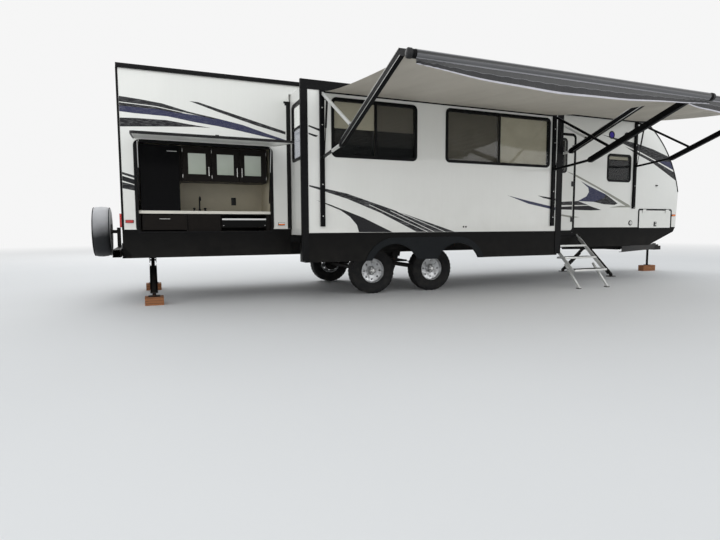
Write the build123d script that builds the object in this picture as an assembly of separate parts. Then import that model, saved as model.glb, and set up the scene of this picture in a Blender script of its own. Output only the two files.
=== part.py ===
from build123d import *
import math
import os

# A travel caravan with one slide-out room, an outdoor kitchen hatch and two roll-out awnings.
# Millimetres. X runs forward from the rear wall's outer face, Y to the vehicle's left from its
# centreline and Z up from the ground. The door side, here the near side, is at minus Y.
# Each node is moved at export so that the origin is the centre of the whole box on the ground.

# Body shell
BODY_WIDTH = 2440
WALL_TOP = 3060
ROOF_THICKNESS = 50
WALL_THICKNESS = 50
CAP_THICKNESS = 40
ROOF_END_X = 9370
NOSE_MID = (9985, 2605)
NOSE_BULGE = (10410, 1750)
NOSE_FOOT = (10370, 1030)
SKIRT_TOP = 1030
SKIRT_BOTTOM = 670
SKIRT_THICKNESS = 12
SKIRT_NOSE = (10310, 935)
SKIRT_TOE_X = 9610
SKIRT_HEEL = 110
REAR_WALL_BOTTOM = 845
FLOOR_BOTTOM = 845
FLOOR_TOP = 930
FLOOR_FRONT_X = 10020

# Chassis
RAIL_INSET = 420
RAIL_HEIGHT = 205
RAIL_FLANGE = 90
RAIL_WEB = 8
RAIL_FLANGE_THICKNESS = 12
RAIL_REAR_X = -30
RAIL_FRONT_X = 9560
CROSSMEMBER_HEIGHT = 110
CROSSMEMBER_WIDTH = 60
CROSSMEMBER_XS = (150, 1500, 2700, 5400, 6700, 8000, 9480)
OUTRIGGER_THICKNESS = 8
OUTRIGGER_DEPTH = 130
OUTRIGGER_TIP = 45
OUTRIGGER_XS = (1000, 1900, 7000, 8000, 8900)

# Running gear
AXLE_XS = (3570, 4640)
TYRE_RADIUS = 360
TYRE_WIDTH = 225
TYRE_INSET = 80
TYRE_SHOULDER = 45
RIM_RADIUS = 190.5
RIM_WIDTH = 152
RIM_WALL = 6
HUB_RADIUS = 62
DRUM_RADIUS = 135
DRUM_DEPTH = 70
WHEEL_SLOTS = 8
AXLE_RADIUS = 38
SPINDLE_RADIUS = 22
PIN_CLEARANCE = 0.1
SPRING_HALF = 330
SPRING_RISE = 60
LEAF_THICKNESS = 9
LEAF_WIDTH = 45
SPRING_EYE_RADIUS = 17
HANGER_WIDTH = 60
HANGER_THICKNESS = 8

# Tongue, coupler and jack
TONGUE_TAIL_X = 9330
TONGUE_APEX_X = 11400
TONGUE_HEIGHT = 125
TONGUE_WIDTH = 60
TONGUE_WALL = 7
COUPLER_X = 11540
COUPLER_RADIUS = 42
COUPLER_DROP = 20
COUPLER_RISE = 70
BALL_RADIUS = 29.8
BALL_SEAT_DEPTH = 36
JACK_X = 11170
JACK_TUBE_RADIUS = 29
JACK_LEG_RADIUS = 24
JACK_TUBE_TOP = 1020
JACK_TRAVEL = 300
JACK_LEG_LENGTH = 540
JACK_FOOT_RADIUS = 70
JACK_FOOT_THICKNESS = 12
TONGUE_BLOCK = (390, 140, 132)
BOTTLE_COVER = (520, 620, 520)
BOTTLE_COVER_X = 10500

# Stabiliser legs, which swing down sideways from a bar under the rails
# as end, X, leg length and the height of the block that its foot stands on
STABILISERS = (("rear", 350, 926, 108), ("front", 9240, 777, 0))
STABILISER_BAR = (90, 70)
STABILISER_BAR_WALL = 6
STABILISER_PIVOT_Y = 90
STABILISER_PIN_RADIUS = 8
STABILISER_SECTION = (50, 46)
STABILISER_FOOT = (150, 110, 14)
STABILISER_TOE_RISE = 30
REAR_BLOCK = (240, 240)
GROUND_GAP = 0.5

# Rear bumper and spare wheel
BUMPER_SIZE = 100
BUMPER_BOTTOM = 670
BUMPER_WALL = 5
BUMPER_LENGTH = 2300
SPARE_RADIUS = 370
SPARE_WIDTH = 245
SPARE_Z = 1000
SPARE_X = -200
SPARE_POST = 50

# Slide-out room, drawn out
SLIDE_X0 = 2234
SLIDE_X1 = 6570
SLIDE_OUT = 670
SLIDE_TRAVEL = 630
SLIDE_BOTTOM = 945
SLIDE_TOP = 2915
SLIDE_WALL = 45
SLIDE_FLOOR = 55
SLIDE_LAP = 120
SLIDE_GAP = 20
SLIDE_WALL_BOTTOM = 975
SLIDE_SKIRT_BOTTOM = 578
SLIDE_SKIRT_THICKNESS = 20
SLIDE_SKIRT_RETURN = 230
SLIDE_RETURN_TOP = 832
FLANGE_FACE = 10
FLANGE_DEPTH = 40
FLANGE_LEFT = (2190, 2286)
FLANGE_RIGHT = (6520, 6640)
FLANGE_TOP = (2850, 2974)
FLANGE_BOTTOM = 600
GLIDE_WIDTH = 120
GLIDE_GAP = 0.3
ARCH_RADIUS = 400
ARCH_Z = 410
ARCH_TRIM_RADIUS = 490
ARCH_TRIM_PROUD = 14

# Windows as X or Y from, to, Z from, to, with the places of the bars between panes
FRAME_FACE = 8
FRAME_LIP = 28
FRAME_SLEEVE = 14
FRAME_BAR = 32
GLASS_THICKNESS = 6
WINDOW_CORNER = 75
SLIDE_WINDOWS = (
    (2615, 3920, 1990, 2780, (3270,)),
    (4395, 6370, 2000, 2790, (5365,)),
)
NEAR_WINDOWS = ((8400, 9030, 1900, 2430, ()),)
FAR_WINDOWS = (
    (700, 1450, 1900, 2500, ()),
    (2500, 4100, 1750, 2550, (3300,)),
    (5300, 6300, 1850, 2500, (5800,)),
    (8300, 9050, 1850, 2500, ()),
)
REAR_WINDOW = (-550, 550, 1850, 2450, (0,))

# Entry door and its steps
DOOR = (6850, 7610, 930, 2740)
DOOR_FRAME = 42
DOOR_CORNER = 90
DOOR_GAP = 6
DOOR_THICKNESS = 40
DOOR_WINDOW = (7040, 7400, 2020, 2650)
DOOR_HINGE_OUT = 20
HINGE_KNUCKLE_RADIUS = 7
HINGE_PIN_RADIUS = 3
HINGE_LUG = 8
HINGE_LUG_GAP = 1
HINGE_LENGTH = 90
DOOR_HINGE_ZS = (1180, 1830, 2480)
STEP_X = (6920, 7650)
STEP_PIN_OUT = 32
STEP_PIN_Z = 893
STEP_PIN_RADIUS = 6
STEP_PLATE = 8
STEP_EYE_RADIUS = 15
STEP_NECK = 0.09
STEP_STRINGER = 62
STEP_TREADS = ((176, 717), (411, 517), (646, 317))
STEP_TREAD_DEPTH = 190
STEP_TREAD_THICKNESS = 28
STEP_LEG_FOOT = (786, 0)
STEP_LEG_HEAD = (470, 400)
STEP_LEG_SECTION = 32
STEP_LEG_INSET = 45
STEP_FOOT_HEIGHT = 30

# Baggage door
BAGGAGE = (9280, 10240, 985, 1395)
BAGGAGE_FRAME = 26
BAGGAGE_CORNER = 45
BAGGAGE_THICKNESS = 30

# Outdoor kitchen bay, its lid and what is in it
KITCHEN = (165, 1970, 985, 2185)
KITCHEN_FRAME = 40
KITCHEN_CORNER = 80
KITCHEN_FACE = 6
KITCHEN_LINER = 15
KITCHEN_LINER_CORNER = 15
KITCHEN_DEPTH = 650
HATCH_THICKNESS = 30
HATCH_HINGE_RISE = 14
HATCH_HINGE_XS = (415, 1067.5, 1720)
HATCH_HINGE_LENGTH = 160
HATCH_OPEN = 83.5
HATCH_SEAL_GAP = 6
HATCH_RIM = 30
STRUT_TUBE_RADIUS = 9
STRUT_ROD_RADIUS = 4.5
STRUT_PIVOT_INSET = 24
STRUT_PIVOT_Z = 1400
STRUT_REACH = 120
STRUT_STANDOFF = 40
STRUT_TUBE_LENGTH = 430
STRUT_ROD_INSIDE = 280
STRUT_BALL_RADIUS = 9
STRUT_STUD_RADIUS = 3.5
STRUT_SIDE_GAP = 5
STRUT_EAR_OFFSET = 15
COUNTER_TOP = 1278
COUNTER_THICKNESS = 38
COUNTER_INSET = 32
CABINET_INSET = 52
PANEL_THICKNESS = 18
FRIDGE_X = (232, 722)
FRIDGE_DOOR = 40
FRIDGE_PIN_INSET = 8
UPPER_X = (756, 1892)
UPPER_Z = (1680, 2146)
UPPER_DEPTH = 330
UPPER_DOORS = ((762, 1128, "left"), (1138, 1506, "left"), (1512, 1886, "right"))
UPPER_HINGE_INSET = 64
UPPER_HINGE_LENGTH = 44
UPPER_HINGE_CAP = 5
UPPER_KNUCKLE_RADIUS = 3.5
UPPER_PIN_RADIUS = 1.5
UPPER_HINGE_PLATE = 3
CABINET_GLASS = (70, 68, 90, 92)
DRAWER_X = (240, 790)
DRAWER_Z = (1024, 1222)
MIDDLE_X = (812, 1226)
TRAY_X = (1250, 1862)
TRAY_Z = (1062, 1178)
TRAY_DRAWN = 20
TRAY_WALL = 8
TRAY_DEPTH = 464
HOB_DEPTH = 60
HOB_SHEET = 6
SINK_X = (850, 1150)
SINK_INSET = (110, 420)
SINK_DEPTH = 130
SINK_WALL = 3
SINK_CORNER = 40

# Awnings: linkage points are the distance out from the face and the height above the ground
AWNING_POINTS = {
    "pivot": (62, 1975),
    "knee": (765, 2040),
    "head": (2310, 2615),
    "roller": (2480, 2550),
    "strut_top": (52, 2800),
    "strut_end": (1060, 2205),
    "fabric": (12, 2834),
}
AWNING_RISE_FRONT = 238
AWNING_SLIDE_XS = (2480, 6440)
AWNING_FRONT_XS = (6730, 9120)
AWNING_RAIL = (62, 34)
AWNING_SLIDE_RAIL_FOOT = 1060
AWNING_FRONT_RAIL_FOOT = 1395
AWNING_TRACK = (12, 24)
AWNING_ARM = (48, 80)
AWNING_HEAD_DEPTH = 62
AWNING_FOOT = (30, 34)
AWNING_FOOT_LAP = 2
AWNING_LINK = (22, 34)
AWNING_ROLLER_RADIUS = 40
AWNING_FABRIC = 4
AWNING_VALANCE = 175
AWNING_EDGE = 45

TAIL_LAMP_INSET = 170
TAIL_LAMP_Z = (1060, 1240)

# Roof pieces as X centre, Y centre, length, width, height, corner radius
ROOF_UNITS = (
    (4800, 0, 1020, 700, 290, 90),
    (1300, 300, 400, 400, 110, 50),
    (6400, -300, 400, 400, 110, 50),
    (8500, 0, 400, 400, 110, 50),
    (2600, 800, 120, 120, 140, 40),
)

NEAR_Y = -BODY_WIDTH / 2
FAR_Y = BODY_WIDTH / 2
ROOF_TOP = WALL_TOP + ROOF_THICKNESS
RAIL_BOTTOM = FLOOR_BOTTOM - RAIL_HEIGHT
RAIL_Y = BODY_WIDTH / 2 - RAIL_INSET
SLIDE_INNER_Y = NEAR_Y + SLIDE_LAP
STRUT_PIVOT = (NEAR_Y + STRUT_PIVOT_INSET, STRUT_PIVOT_Z)
COUNTER_FRONT_Y = NEAR_Y + COUNTER_INSET
CABINET_FRONT_Y = NEAR_Y + CABINET_INSET
SINK_Y = (NEAR_Y + SINK_INSET[0], NEAR_Y + SINK_INSET[1])
SLIDE_FACE_Y = NEAR_Y - SLIDE_OUT
TONGUE_TOP = RAIL_BOTTOM
TONGUE_BOTTOM = TONGUE_TOP - TONGUE_HEIGHT
TONGUE_SLOPE = math.atan2(RAIL_Y, TONGUE_APEX_X - TONGUE_TAIL_X)
WHEEL_Y = BODY_WIDTH / 2 - TYRE_INSET - TYRE_WIDTH / 2
HATCH_PIN_Y = NEAR_Y - KITCHEN_FACE - HATCH_SEAL_GAP - HATCH_THICKNESS / 2
HATCH_PIN_Z = KITCHEN[3] + HATCH_HINGE_RISE
STABILISER_PIVOT_Z = RAIL_BOTTOM - STABILISER_BAR[1] - STABILISER_PIN_RADIUS
DOOR_PIN = (DOOR[1] - DOOR_FRAME + 8, NEAR_Y - DOOR_HINGE_OUT)
BAGGAGE_PIN = (NEAR_Y - DOOR_HINGE_OUT, BAGGAGE[3] - BAGGAGE_FRAME + 8)
STEP_PIN_Y = NEAR_Y - STEP_PIN_OUT


def block(x0, x1, y0, y1, z0, z1):
    """A plain block between two opposite corners."""
    size = Box(abs(x1 - x0), abs(y1 - y0), abs(z1 - z0))
    return Pos((x0 + x1) / 2, (y0 + y1) / 2, (z0 + z1) / 2) * size


def extrude_y(face, y0, y1):
    """Extrudes a sketch drawn as X and Z from y0 to y1, where y0 is the lower."""
    return extrude(Plane.XZ.offset(-y1) * face, y1 - y0)


def extrude_x(face, x0, x1):
    """Extrudes a sketch drawn as Y and Z from x0 to x1."""
    return extrude(Plane.YZ.offset(x0) * face, x1 - x0)


def extrude_z(face, z0, z1):
    """Extrudes a sketch drawn as X and Y from z0 to z1."""
    return extrude(Plane.XY.offset(z0) * face, z1 - z0)


def rounded(a0, a1, b0, b1, radius):
    """A rectangle with rounded corners between two opposite corners."""
    shape = RectangleRounded(a1 - a0, b1 - b0, radius)
    return Pos((a0 + a1) / 2, (b0 + b1) / 2) * shape


def rectangle(a0, a1, b0, b1):
    return Pos((a0 + a1) / 2, (b0 + b1) / 2) * Rectangle(a1 - a0, b1 - b0)


def polygon(*points):
    return make_face(Polyline(*points, close=True))


def bar(start, end, width, depth, x):
    """A square bar in a plane across the vehicle, from one Y, Z point to another."""
    dy = end[0] - start[0]
    dz = end[1] - start[1]
    length = math.hypot(dy, dz)
    angle = math.degrees(math.atan2(dz, dy))
    middle = Pos(x, (start[0] + end[0]) / 2, (start[1] + end[1]) / 2)
    return middle * Rot(angle, 0, 0) * Box(width, length, depth)


def rod(start, end, radius):
    """A round bar from one X, Y, Z point to another."""
    direction = Vector(*end) - Vector(*start)
    plane = Plane(origin=start, z_dir=direction)
    return extrude(plane * Circle(radius), direction.length)


def fuse(parts):
    whole = parts[0]
    for part in parts[1:]:
        whole = whole + part
    return whole


def both_sides(part):
    """The piece and its mirror image across the centreline, as separate solids."""
    return [part, mirror(part, Plane.XZ)]


def nose_face(inset):
    """The body's side outline ahead of the roof's end, moved inwards by inset."""
    start = (ROOF_END_X, ROOF_TOP - inset)
    end = (NOSE_BULGE[0] - inset, NOSE_BULGE[1])
    lean = math.radians(45)
    middle = (NOSE_MID[0] - inset * math.sin(lean), NOSE_MID[1] - inset * math.cos(lean))
    foot = (NOSE_FOOT[0] - inset, NOSE_FOOT[1])
    edges = [
        ThreePointArc(start, middle, end),
        Line(end, foot),
        Line(foot, (ROOF_END_X, NOSE_FOOT[1])),
        Line((ROOF_END_X, NOSE_FOOT[1]), start),
    ]
    return make_face(edges)


def side_face():
    """The side wall's outline above the floor."""
    back = rectangle(0, ROOF_END_X, SKIRT_TOP, WALL_TOP)
    return back + nose_face(0)


def wall_solid(inner_sign):
    """A side wall with a rebate at its foot where the skirt laps over it."""
    outer = inner_sign * BODY_WIDTH / 2
    inner = outer - inner_sign * WALL_THICKNESS
    lapped = outer - inner_sign * SKIRT_THICKNESS
    upper = extrude_y(side_face(), min(outer, inner), max(outer, inner))
    lower = block(0, FLOOR_FRONT_X, lapped, inner, FLOOR_TOP, SKIRT_TOP)
    return upper + lower


def window_hole(window):
    return (
        window[0] + FRAME_LIP,
        window[1] - FRAME_LIP,
        window[2] + FRAME_LIP,
        window[3] - FRAME_LIP,
    )


def window_pane(window):
    inset = FRAME_LIP + FRAME_SLEEVE
    return (window[0] + inset, window[1] - inset, window[2] + inset, window[3] - inset)


def frame_faces(window):
    """The face ring and the sleeve of a window frame, as sketches."""
    hole = rounded(*window_hole(window), WINDOW_CORNER - FRAME_LIP)
    pane = rounded(*window_pane(window), WINDOW_CORNER - FRAME_LIP - FRAME_SLEEVE)
    ring = rounded(*window[:4], WINDOW_CORNER) - pane
    for place in window[4]:
        half = FRAME_BAR / 2
        ring = ring + rectangle(place - half, place + half, window[2] + FRAME_LIP, window[3] - FRAME_LIP)
    return ring, hole - pane


def wall_frame(window, outer, sign, depth, extrude_along=extrude_y):
    """A window frame for a wall whose outer face is at outer and whose inside is towards sign."""
    ring, sleeve = frame_faces(window)
    face_out = outer - sign * FRAME_FACE
    inside = outer + sign * depth
    face = extrude_along(ring, min(outer, face_out), max(outer, face_out))
    tube = extrude_along(sleeve, min(outer, inside), max(outer, inside))
    return face + tube


def wall_glass(window, outer, sign, extrude_along=extrude_y):
    pane = rounded(*window_pane(window), WINDOW_CORNER - FRAME_LIP - FRAME_SLEEVE)
    inside = outer + sign * GLASS_THICKNESS
    return extrude_along(pane, min(outer, inside), max(outer, inside))


def cut_windows(wall, windows, y0, y1):
    for window in windows:
        hole = rounded(*window_hole(window), WINDOW_CORNER - FRAME_LIP)
        wall = wall - extrude_y(hole, y0, y1)
    return wall


# Shell of the body

def kitchen_liner_box(inset):
    """The kitchen opening's clear size, moved inwards by inset."""
    clear = KITCHEN_FRAME + inset
    return (KITCHEN[0] + clear, KITCHEN[1] - clear, KITCHEN[2] + clear - 20, KITCHEN[3] - clear + 5)


def near_wall():
    wall = wall_solid(-1)
    y0 = NEAR_Y - 10
    y1 = NEAR_Y + WALL_THICKNESS + 10
    bay_hole = rounded(*kitchen_liner_box(-KITCHEN_LINER), KITCHEN_LINER_CORNER)
    wall = wall - extrude_y(bay_hole, y0, y1)
    wall = wall - block(
        SLIDE_X0 - SLIDE_GAP, SLIDE_X1 + SLIDE_GAP, y0, y1, FLOOR_TOP - 10, SLIDE_TOP + SLIDE_GAP
    )
    door_hole = (DOOR[0] + 20, DOOR[1] - 20, DOOR[2] - 100, DOOR[3] - 20)
    wall = wall - extrude_y(rounded(*door_hole, DOOR_CORNER - 20), y0, y1)
    baggage_hole = (BAGGAGE[0] + 14, BAGGAGE[1] - 14, BAGGAGE[2] + 14, BAGGAGE[3] - 14)
    wall = wall - extrude_y(rounded(*baggage_hole, BAGGAGE_CORNER - 14), y0, y1)
    return cut_windows(wall, NEAR_WINDOWS, y0, y1)


def far_wall():
    return cut_windows(wall_solid(1), FAR_WINDOWS, FAR_Y - WALL_THICKNESS - 10, FAR_Y + 10)


def rear_wall():
    half = BODY_WIDTH / 2 - WALL_THICKNESS
    wall = block(0, WALL_THICKNESS, -half, half, REAR_WALL_BOTTOM, WALL_TOP)
    hole = rounded(*window_hole(REAR_WINDOW), WINDOW_CORNER - FRAME_LIP)
    return wall - extrude_x(hole, -10, WALL_THICKNESS + 10)


def front_cap():
    """The moulded nose between the side walls."""
    half = BODY_WIDTH / 2 - WALL_THICKNESS
    outer = extrude_y(nose_face(0), -half, half)
    inner = extrude_y(nose_face(CAP_THICKNESS), -half, half)
    return outer - inner


def roof_shell():
    roof = block(0, ROOF_END_X, NEAR_Y, FAR_Y, WALL_TOP, ROOF_TOP)
    return fillet(roof.edges().filter_by(Axis.X).group_by(Axis.Z)[-1], 18)


def floor_deck():
    """The floor, with low glide strips that the slide-out room's floor runs on."""
    edge = BODY_WIDTH / 2 - SKIRT_THICKNESS
    deck = block(WALL_THICKNESS, FLOOR_FRONT_X, -edge, edge, FLOOR_BOTTOM, FLOOR_TOP)
    glide_top = SLIDE_BOTTOM - GLIDE_GAP
    span = SLIDE_X1 - SLIDE_X0
    for share in (0.08, 0.36, 0.64, 0.92):
        x = SLIDE_X0 + share * span
        deck = deck + block(
            x - GLIDE_WIDTH / 2, x + GLIDE_WIDTH / 2, -edge, -edge + 200, FLOOR_TOP, glide_top
        )
    return deck


def skirt_outline(x0):
    """The skirt's outline from x0 forward to the nose."""
    return polygon(
        (x0, SKIRT_BOTTOM),
        (SKIRT_TOE_X, SKIRT_BOTTOM),
        SKIRT_NOSE,
        (NOSE_FOOT[0], SKIRT_TOP),
        (x0, SKIRT_TOP),
    )


def skirt_panels():
    """Black lower side panels and the apron under the nose."""
    inner = BODY_WIDTH / 2 - SKIRT_THICKNESS
    rear_outline = polygon(
        (SKIRT_HEEL, SKIRT_BOTTOM),
        (SLIDE_X0 - SLIDE_GAP, SKIRT_BOTTOM),
        (SLIDE_X0 - SLIDE_GAP, SKIRT_TOP),
        (0, SKIRT_TOP),
        (0, REAR_WALL_BOTTOM),
    )
    near_rear = extrude_y(rear_outline, NEAR_Y, -inner)
    cut = rounded(*kitchen_liner_box(-KITCHEN_LINER), KITCHEN_LINER_CORNER)
    near_rear = near_rear - extrude_y(cut, NEAR_Y - 10, -inner + 10)
    near_front = extrude_y(skirt_outline(SLIDE_X1 + SLIDE_GAP), NEAR_Y, -inner)
    door_cut = block(DOOR[0] + 20, DOOR[1] - 20, NEAR_Y - 5, -inner + 5, FLOOR_TOP, SKIRT_TOP + 5)
    baggage_hole = (BAGGAGE[0] + 14, BAGGAGE[1] - 14, BAGGAGE[2] + 14, BAGGAGE[3] - 14)
    baggage_cut = extrude_y(rounded(*baggage_hole, BAGGAGE_CORNER - 14), NEAR_Y - 5, -inner + 5)
    near_front = near_front - door_cut - baggage_cut
    far_outline = skirt_outline(SKIRT_HEEL) + polygon(
        (SKIRT_HEEL, SKIRT_BOTTOM), (SKIRT_HEEL, SKIRT_TOP), (0, SKIRT_TOP), (0, REAR_WALL_BOTTOM)
    )
    for x in AXLE_XS:
        far_outline = far_outline - Pos(x, ARCH_Z) * Circle(ARCH_RADIUS)
    far = extrude_y(far_outline, inner, FAR_Y)
    slope = math.atan2(SKIRT_NOSE[1] - SKIRT_BOTTOM, SKIRT_NOSE[0] - SKIRT_TOE_X)
    rise = SKIRT_THICKNESS / math.cos(slope)
    apron_face = polygon(
        (SKIRT_TOE_X, SKIRT_BOTTOM),
        SKIRT_NOSE,
        NOSE_FOOT,
        (NOSE_FOOT[0] - 14, SKIRT_TOP),
        (SKIRT_NOSE[0] - 12, SKIRT_NOSE[1] + rise),
        (SKIRT_TOE_X, SKIRT_BOTTOM + rise),
    )
    apron = extrude_y(apron_face, -inner, inner)
    return [near_rear, near_front, far, apron]


# Chassis and running gear

def chassis_rails():
    half = RAIL_FLANGE / 2
    web = RAIL_WEB / 2
    top = FLOOR_BOTTOM
    bottom = RAIL_BOTTOM
    lip = RAIL_FLANGE_THICKNESS
    section = polygon(
        (RAIL_Y - half, bottom),
        (RAIL_Y + half, bottom),
        (RAIL_Y + half, bottom + lip),
        (RAIL_Y + web, bottom + lip),
        (RAIL_Y + web, top - lip),
        (RAIL_Y + half, top - lip),
        (RAIL_Y + half, top),
        (RAIL_Y - half, top),
        (RAIL_Y - half, top - lip),
        (RAIL_Y - web, top - lip),
        (RAIL_Y - web, bottom + lip),
        (RAIL_Y - half, bottom + lip),
    )
    return both_sides(extrude_x(section, RAIL_REAR_X, RAIL_FRONT_X))


def chassis_crossmembers():
    """Channels between the rails, tapered outriggers and the stabiliser bars."""
    parts = []
    inner = RAIL_Y - RAIL_WEB / 2
    outer = RAIL_Y + RAIL_WEB / 2
    top = FLOOR_BOTTOM - RAIL_FLANGE_THICKNESS
    for x in CROSSMEMBER_XS:
        z0 = top - CROSSMEMBER_HEIGHT
        member = block(x - CROSSMEMBER_WIDTH / 2, x + CROSSMEMBER_WIDTH / 2, -inner, inner, z0, top)
        hollow = block(x - CROSSMEMBER_WIDTH / 2 + 6, x + CROSSMEMBER_WIDTH, -inner, inner, z0 + 6, top - 6)
        parts.append(member - hollow)
    edge = BODY_WIDTH / 2 - SKIRT_THICKNESS
    flange = RAIL_Y + RAIL_FLANGE / 2
    web_face = polygon(
        (outer, top),
        (flange, top),
        (flange, FLOOR_BOTTOM),
        (edge, FLOOR_BOTTOM),
        (edge, FLOOR_BOTTOM - OUTRIGGER_TIP),
        (outer, top - OUTRIGGER_DEPTH),
    )
    for x in OUTRIGGER_XS:
        parts += both_sides(extrude_x(web_face, x - OUTRIGGER_THICKNESS / 2, x + OUTRIGGER_THICKNESS / 2))
    for end, x, leg, stand in STABILISERS:
        parts.append(stabiliser_bar(x))
    return parts


def stabiliser_bar(x):
    """An open channel under the rails, with pivot ears for its two legs."""
    width, height = STABILISER_BAR
    wall = STABILISER_BAR_WALL
    half = RAIL_Y + RAIL_FLANGE / 2
    top = RAIL_BOTTOM
    x0 = x - width / 2
    x1 = x + width / 2
    channel = block(x0, x1, -half, half, top - height, top)
    channel = channel - block(x0 + wall, x1 - wall, -half, half, top - height, top - wall)
    ears = []
    for side in (-1, 1):
        y = side * STABILISER_PIVOT_Y
        for face in (-1, 1):
            outer = x + face * width / 2
            inner = outer - face * wall
            ears.append(block(outer, inner, y - 28, y + 28, STABILISER_PIVOT_Z - 26, top - height))
        pin = Pos(x, y, STABILISER_PIVOT_Z) * Rot(0, 90, 0) * Cylinder(STABILISER_PIN_RADIUS, width)
        ears.append(pin)
    return fuse([channel] + ears)


def axles():
    """Two beam axles, each with brake plates, spindles and spring seats."""
    parts = []
    seat_top = TYRE_RADIUS + AXLE_RADIUS + 8
    plate_y = WHEEL_Y - RIM_WIDTH / 2 - DRUM_DEPTH + 8
    tip_y = WHEEL_Y + 30
    for x in AXLE_XS:
        beam = rod((x, -plate_y, TYRE_RADIUS), (x, plate_y, TYRE_RADIUS), AXLE_RADIUS)
        spindle = rod((x, -tip_y, TYRE_RADIUS), (x, tip_y, TYRE_RADIUS), SPINDLE_RADIUS)
        pieces = [beam, spindle]
        for side in (-1, 1):
            y = side * plate_y
            plate = rod((x, y - side * 10, TYRE_RADIUS), (x, y, TYRE_RADIUS), DRUM_RADIUS - 5)
            seat_y = side * RAIL_Y
            seat = block(x - 60, x + 60, seat_y - 28, seat_y + 28, TYRE_RADIUS, seat_top)
            pieces += [plate, seat]
        parts.append(fuse(pieces))
    return parts


def leaf_band(x, half, z_mid, z_end, thickness):
    """One curved leaf, as a sketch of X and Z."""
    low = ThreePointArc((x - half, z_end), (x, z_mid), (x + half, z_end))
    right = Line((x + half, z_end), (x + half, z_end + thickness))
    high = ThreePointArc(
        (x + half, z_end + thickness), (x, z_mid + thickness), (x - half, z_end + thickness)
    )
    left = Line((x - half, z_end + thickness), (x - half, z_end))
    return make_face([low, right, high, left])


def leaf_springs():
    """Per side two leaf packs, an equaliser between them and hangers under the rail."""
    seat_top = TYRE_RADIUS + AXLE_RADIUS + 8
    main_mid = seat_top + 2 * LEAF_THICKNESS
    eye_z = main_mid + SPRING_RISE + LEAF_THICKNESS / 2
    faces = []
    for x in AXLE_XS:
        for layer, share in enumerate((1.0, 0.68, 0.4)):
            half = SPRING_HALF * share
            drop = layer * LEAF_THICKNESS
            rise = SPRING_RISE * share * share
            faces.append(leaf_band(x, half, main_mid - drop, main_mid - drop + rise, LEAF_THICKNESS + 0.5))
        for end in (-1, 1):
            faces.append(Pos(x + end * SPRING_HALF, eye_z) * Circle(SPRING_EYE_RADIUS))
    middle = sum(AXLE_XS) / len(AXLE_XS)
    left_eye = AXLE_XS[0] + SPRING_HALF
    right_eye = AXLE_XS[1] - SPRING_HALF
    equaliser = polygon(
        (left_eye, eye_z - 14),
        (right_eye, eye_z - 14),
        (right_eye, eye_z + 14),
        (middle, eye_z + 52),
        (left_eye, eye_z + 14),
    )
    pack = extrude_y(fuse(faces) + equaliser, RAIL_Y - LEAF_WIDTH / 2, RAIL_Y + LEAF_WIDTH / 2)
    hangers = []
    for x in (AXLE_XS[0] - SPRING_HALF, middle, AXLE_XS[1] + SPRING_HALF):
        hanger_face = polygon(
            (x - HANGER_WIDTH, RAIL_BOTTOM),
            (x + HANGER_WIDTH, RAIL_BOTTOM),
            (x + HANGER_WIDTH / 2, eye_z - 22),
            (x - HANGER_WIDTH / 2, eye_z - 22),
        )
        for face in (-1, 1):
            y = RAIL_Y + face * (LEAF_WIDTH / 2 + HANGER_THICKNESS / 2)
            hangers.append(extrude_y(hanger_face, y - HANGER_THICKNESS / 2, y + HANGER_THICKNESS / 2))
    return both_sides(fuse([pack] + hangers))


def tyre(x, side):
    """A road tyre with rounded shoulders and a bulged side wall."""
    half = TYRE_WIDTH / 2
    bead = RIM_WIDTH / 2
    profile = make_face(
        [
            Line((RIM_RADIUS, -bead), (RIM_RADIUS, bead)),
            ThreePointArc(
                (RIM_RADIUS, bead), ((RIM_RADIUS + TYRE_RADIUS) / 2, half), (TYRE_RADIUS - 22, half - 14)
            ),
            Line((TYRE_RADIUS - 22, half - 14), (TYRE_RADIUS, half - TYRE_SHOULDER)),
            Line((TYRE_RADIUS, half - TYRE_SHOULDER), (TYRE_RADIUS, -half + TYRE_SHOULDER)),
            Line((TYRE_RADIUS, -half + TYRE_SHOULDER), (TYRE_RADIUS - 22, -half + 14)),
            ThreePointArc(
                (TYRE_RADIUS - 22, -half + 14),
                ((RIM_RADIUS + TYRE_RADIUS) / 2, -half),
                (RIM_RADIUS, -bead),
            ),
        ]
    )
    ring = revolve(Plane.XY * profile, Axis.Y)
    return Pos(x, side * WHEEL_Y, TYRE_RADIUS) * ring


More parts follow.
